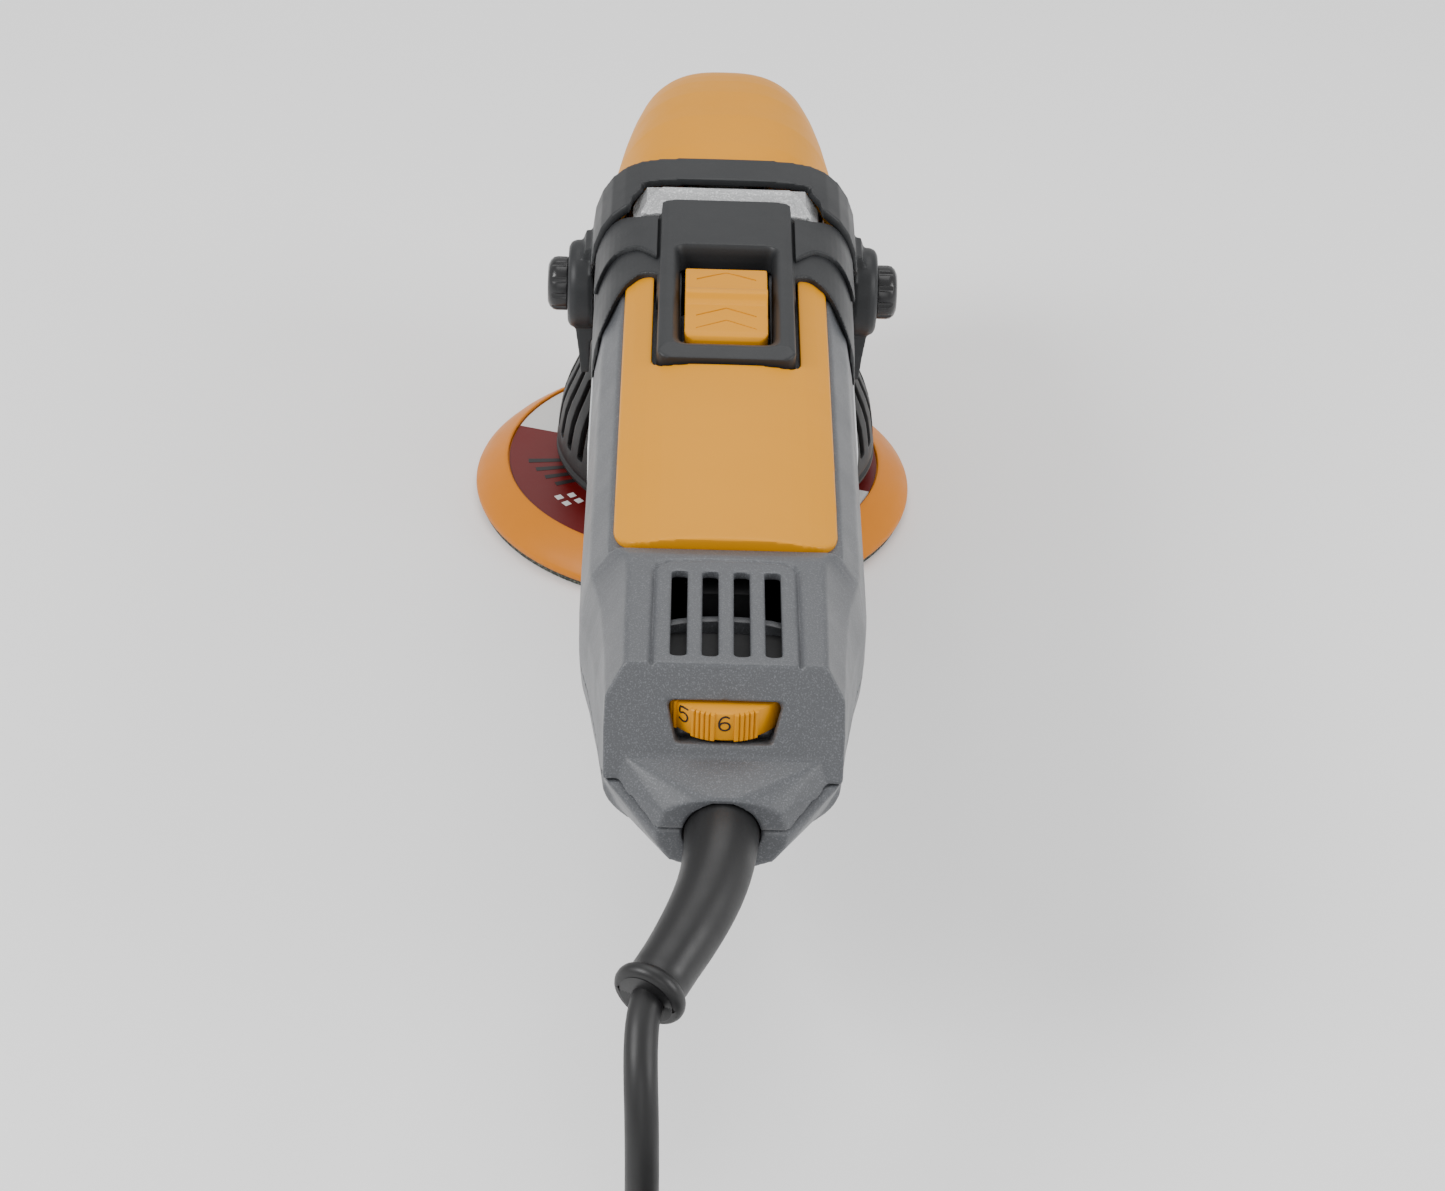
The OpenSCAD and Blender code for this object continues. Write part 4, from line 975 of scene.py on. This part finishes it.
def make_shroud():
    out = [(54.3, 17.7), (54.75, 18.4), (54.7, 19.3), (53.9, 19.9), (53.7, 20.5), (53.9, 21.1),
           (54.5, 21.5), (54.55, 22.2), (54.3, 24), (53.95, 28), (53.5, 31.5), (52.6, 36.5), (51, 41.4),
           (49, 46), (46.9, 51), (44.6, 55.6), (42, 59.6), (39.4, 63), (36.2, 64.5)]
    inner = [(r - 2.6, z - (1 if z > 50 else 0)) for r, z in out[15:3:-1]]
    ob = lathe("shroud", out + [(36.2, 61.4), (38.2, 61)] + inner + [(51.7, 17.7)], 240)
    cuts = []
    for k in range(SHROUD_SLOTS):
        a = 2 * pi * (k + 0.5) / SHROUD_SLOTS
        pts = rounded([(27, -1.75), (52.4, -1.55), (52.4, 1.55), (27, 1.75)], [0.8, 1.5, 1.5, 0.8], 5)
        c = prism("slot", [(y, z) for z, y in pts][::-1], 30, 60, "x")
        c.data.transform(Matrix.Rotation(a, 4, "Z"))
        cuts.append(c)
    cut(ob, join(cuts, "slots"))
    edged(ob, 0.35, 2, 35)
    place(smooth(paint(ob, "shroud"), 38), "dust_shroud", "housing", "black_rubber", "shroud")


def make_pad():
    prof = [(4.3, 6), (11.5, 6), (11.5, 1.65), (73.6, 1.65), (74.3, 2.0), (74.8, 2.7), (75.0, 3.5),
            (74.95, 4.3), (74.6, 5.1), (71.5, 8.2), (68, 11.0), (65.6, 12.7), (64.9, 13.2), (64.3, 13.4),
            (63.9, 13.2), (63.8, 12.2), (30, 12.2), (26, 15.5), (22, 16.5), (18, 20.4), (4.3, 20.4)]
    ob = lathe("plate", prof, 256, (PAD_X, 0, 0))
    for k in range(6):
        a = radians(60 * k)
        cut(ob, rod(4, -1, 9, (PAD_X + 45 * cos(a), 45 * sin(a)), sides=40))
    smooth(paint(ob, "pad"), 30)
    place(ob, "pad_plate", "pad", "orange_plastic", "backing_plate")
    # printed ring: dark red with two white sectors
    rings = {"red": [], "white": []}
    for a0, a1, m in ((-42, -18, "white"), (-18, 118, "red"), (118, 163, "white"), (163, 318, "red")):
        rings[m].append(sector(LABEL_IN, LABEL_OUT, a0, a1, 12.2, 12.6))
    for m, name, stands_for in (("red", "label_ring", ["pad_label"]), ("white", "label_white_sectors", [])):
        o = join(rings[m], name)
        smooth(paint(o, m), 30)
        place(o, name, "pad", "red_label", *stands_for)


def make_print():
    """Plain bars and squares where the label carries its small print."""
    bars = [sector(38 + k, 57 - 2 * k, 184 + 6 * k, 186.6 + 6 * k, 12.5, 12.68) for k in range(4)]
    squares = [sector(48, 50.4, a, a + 3, 12.5, 12.7) for a in (212, 217)]
    squares += [sector(52.4, 54.8, a, a + 2.8, 12.5, 12.7) for a in (211, 216)]
    for obs, m, name in ((bars, "ink", "label_print"), (squares, "white", "label_squares")):
        place(smooth(paint(join(obs, name), m), 30), name, "pad", "red_label")


def sector(r0, r1, a0, a1, z0, z1):
    """Part of a flat ring round the pad's axis, between two angles."""
    n = max(2, int((a1 - a0) / 2))
    rows = []
    for k in range(n + 1):
        a = radians(lerp(a0, a1, k / n))
        section = ((r0, z0), (r1, z0), (r1, z1), (r0, z1))
        rows.append([(PAD_X + r * cos(a), r * sin(a), z) for r, z in section])
    return loft("sector", rows)


# ---------- finish of the CAD parts that stay, then the floor and lights ----------
KEPT = {
    "gear_case": "cast", "bearing_flange": "cast", "spindle_bearings": "steel", "motor_bearings": "steel",
    "field_stator": "laminated", "field_coils": "copper", "brush_gear": "carbon", "fan_baffle": "inside",
    "speed_board": "board", "switch_unit": "inside", "cable_clamp": "inside", "housing_screws": "steel",
    "case_screws": "steel", "flange_screws": "steel", "plug_pins": "steel", "switch_slider": "inside",
    "armature_shaft": "steel", "armature_core": "laminated", "armature_windings": "copper",
    "commutator": "copper", "cooling_fan": "inside", "drive_pinion": "steel", "output_spindle": "steel",
    "crown_gear": "steel", "eccentric_carrier": "iron", "pad_bearings": "steel", "pad_spindle": "steel",
    "hook_face": "hook", "pad_screw": "steel"}


FLOOR_HALF, FLOOR_TOP = 4000, -0.4
WORLD_STRENGTH = 0.8


def make_stage():
    h = FLOOR_HALF
    floor = prism("floor", [(-h, -h), (h, -h), (h, h), (-h, h)], -10, FLOOR_TOP)
    mat, nt, bsdf, vec = nodes_of("floor_white")
    nt.links.new(tint(nt, noise(nt, vec, 3), (0.86, 0.86, 0.86), (0.88, 0.88, 0.88)),
                 bsdf.inputs["Base Color"])
    bsdf.inputs["Roughness"].default_value = 0.7
    floor.data.materials.append(mat)
    world = bpy.data.worlds.new("studio")
    bpy.context.scene.world = world
    world.use_nodes = True
    bg = world.node_tree.nodes["Background"]
    bg.inputs["Color"].default_value, bg.inputs["Strength"].default_value = (1, 1, 1, 1), WORLD_STRENGTH
    for name, at, size, power in (("key", (-1.2, -0.7, 1.2), 0.7, 22), ("fill", (1.4, -0.6, 0.9), 0.8, 14),
                                  ("top", (0.1, 0.5, 1.7), 1.3, 12), ("front", (0.0, -1.8, 0.9), 0.8, 4)):
        data = bpy.data.lights.new(name, "AREA")
        data.shape, data.size, data.energy = "SQUARE", size, power
        ob = bpy.data.objects.new(name, data)
        bpy.context.scene.collection.objects.link(ob)
        ob.location = at
        ob.rotation_euler = (Vector((0, -0.2, 0.1)) - Vector(at)).to_track_quat("-Z", "Y").to_euler()


make_camera()
make_materials()
cord, cord_path, cord_length, on_cord = make_cord()
make_strain_relief()
make_housing()
make_panel()
make_bezel()
make_button()
make_dial()
make_head()
make_hood()
make_yoke()
make_knobs()
make_badges()
make_shroud()
make_pad()
make_print()
for name, mat in KEPT.items():
    paint_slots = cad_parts[name].material_slots
    for k in range(len(paint_slots)):
        paint_slots[k].material = M[mat]
make_stage()
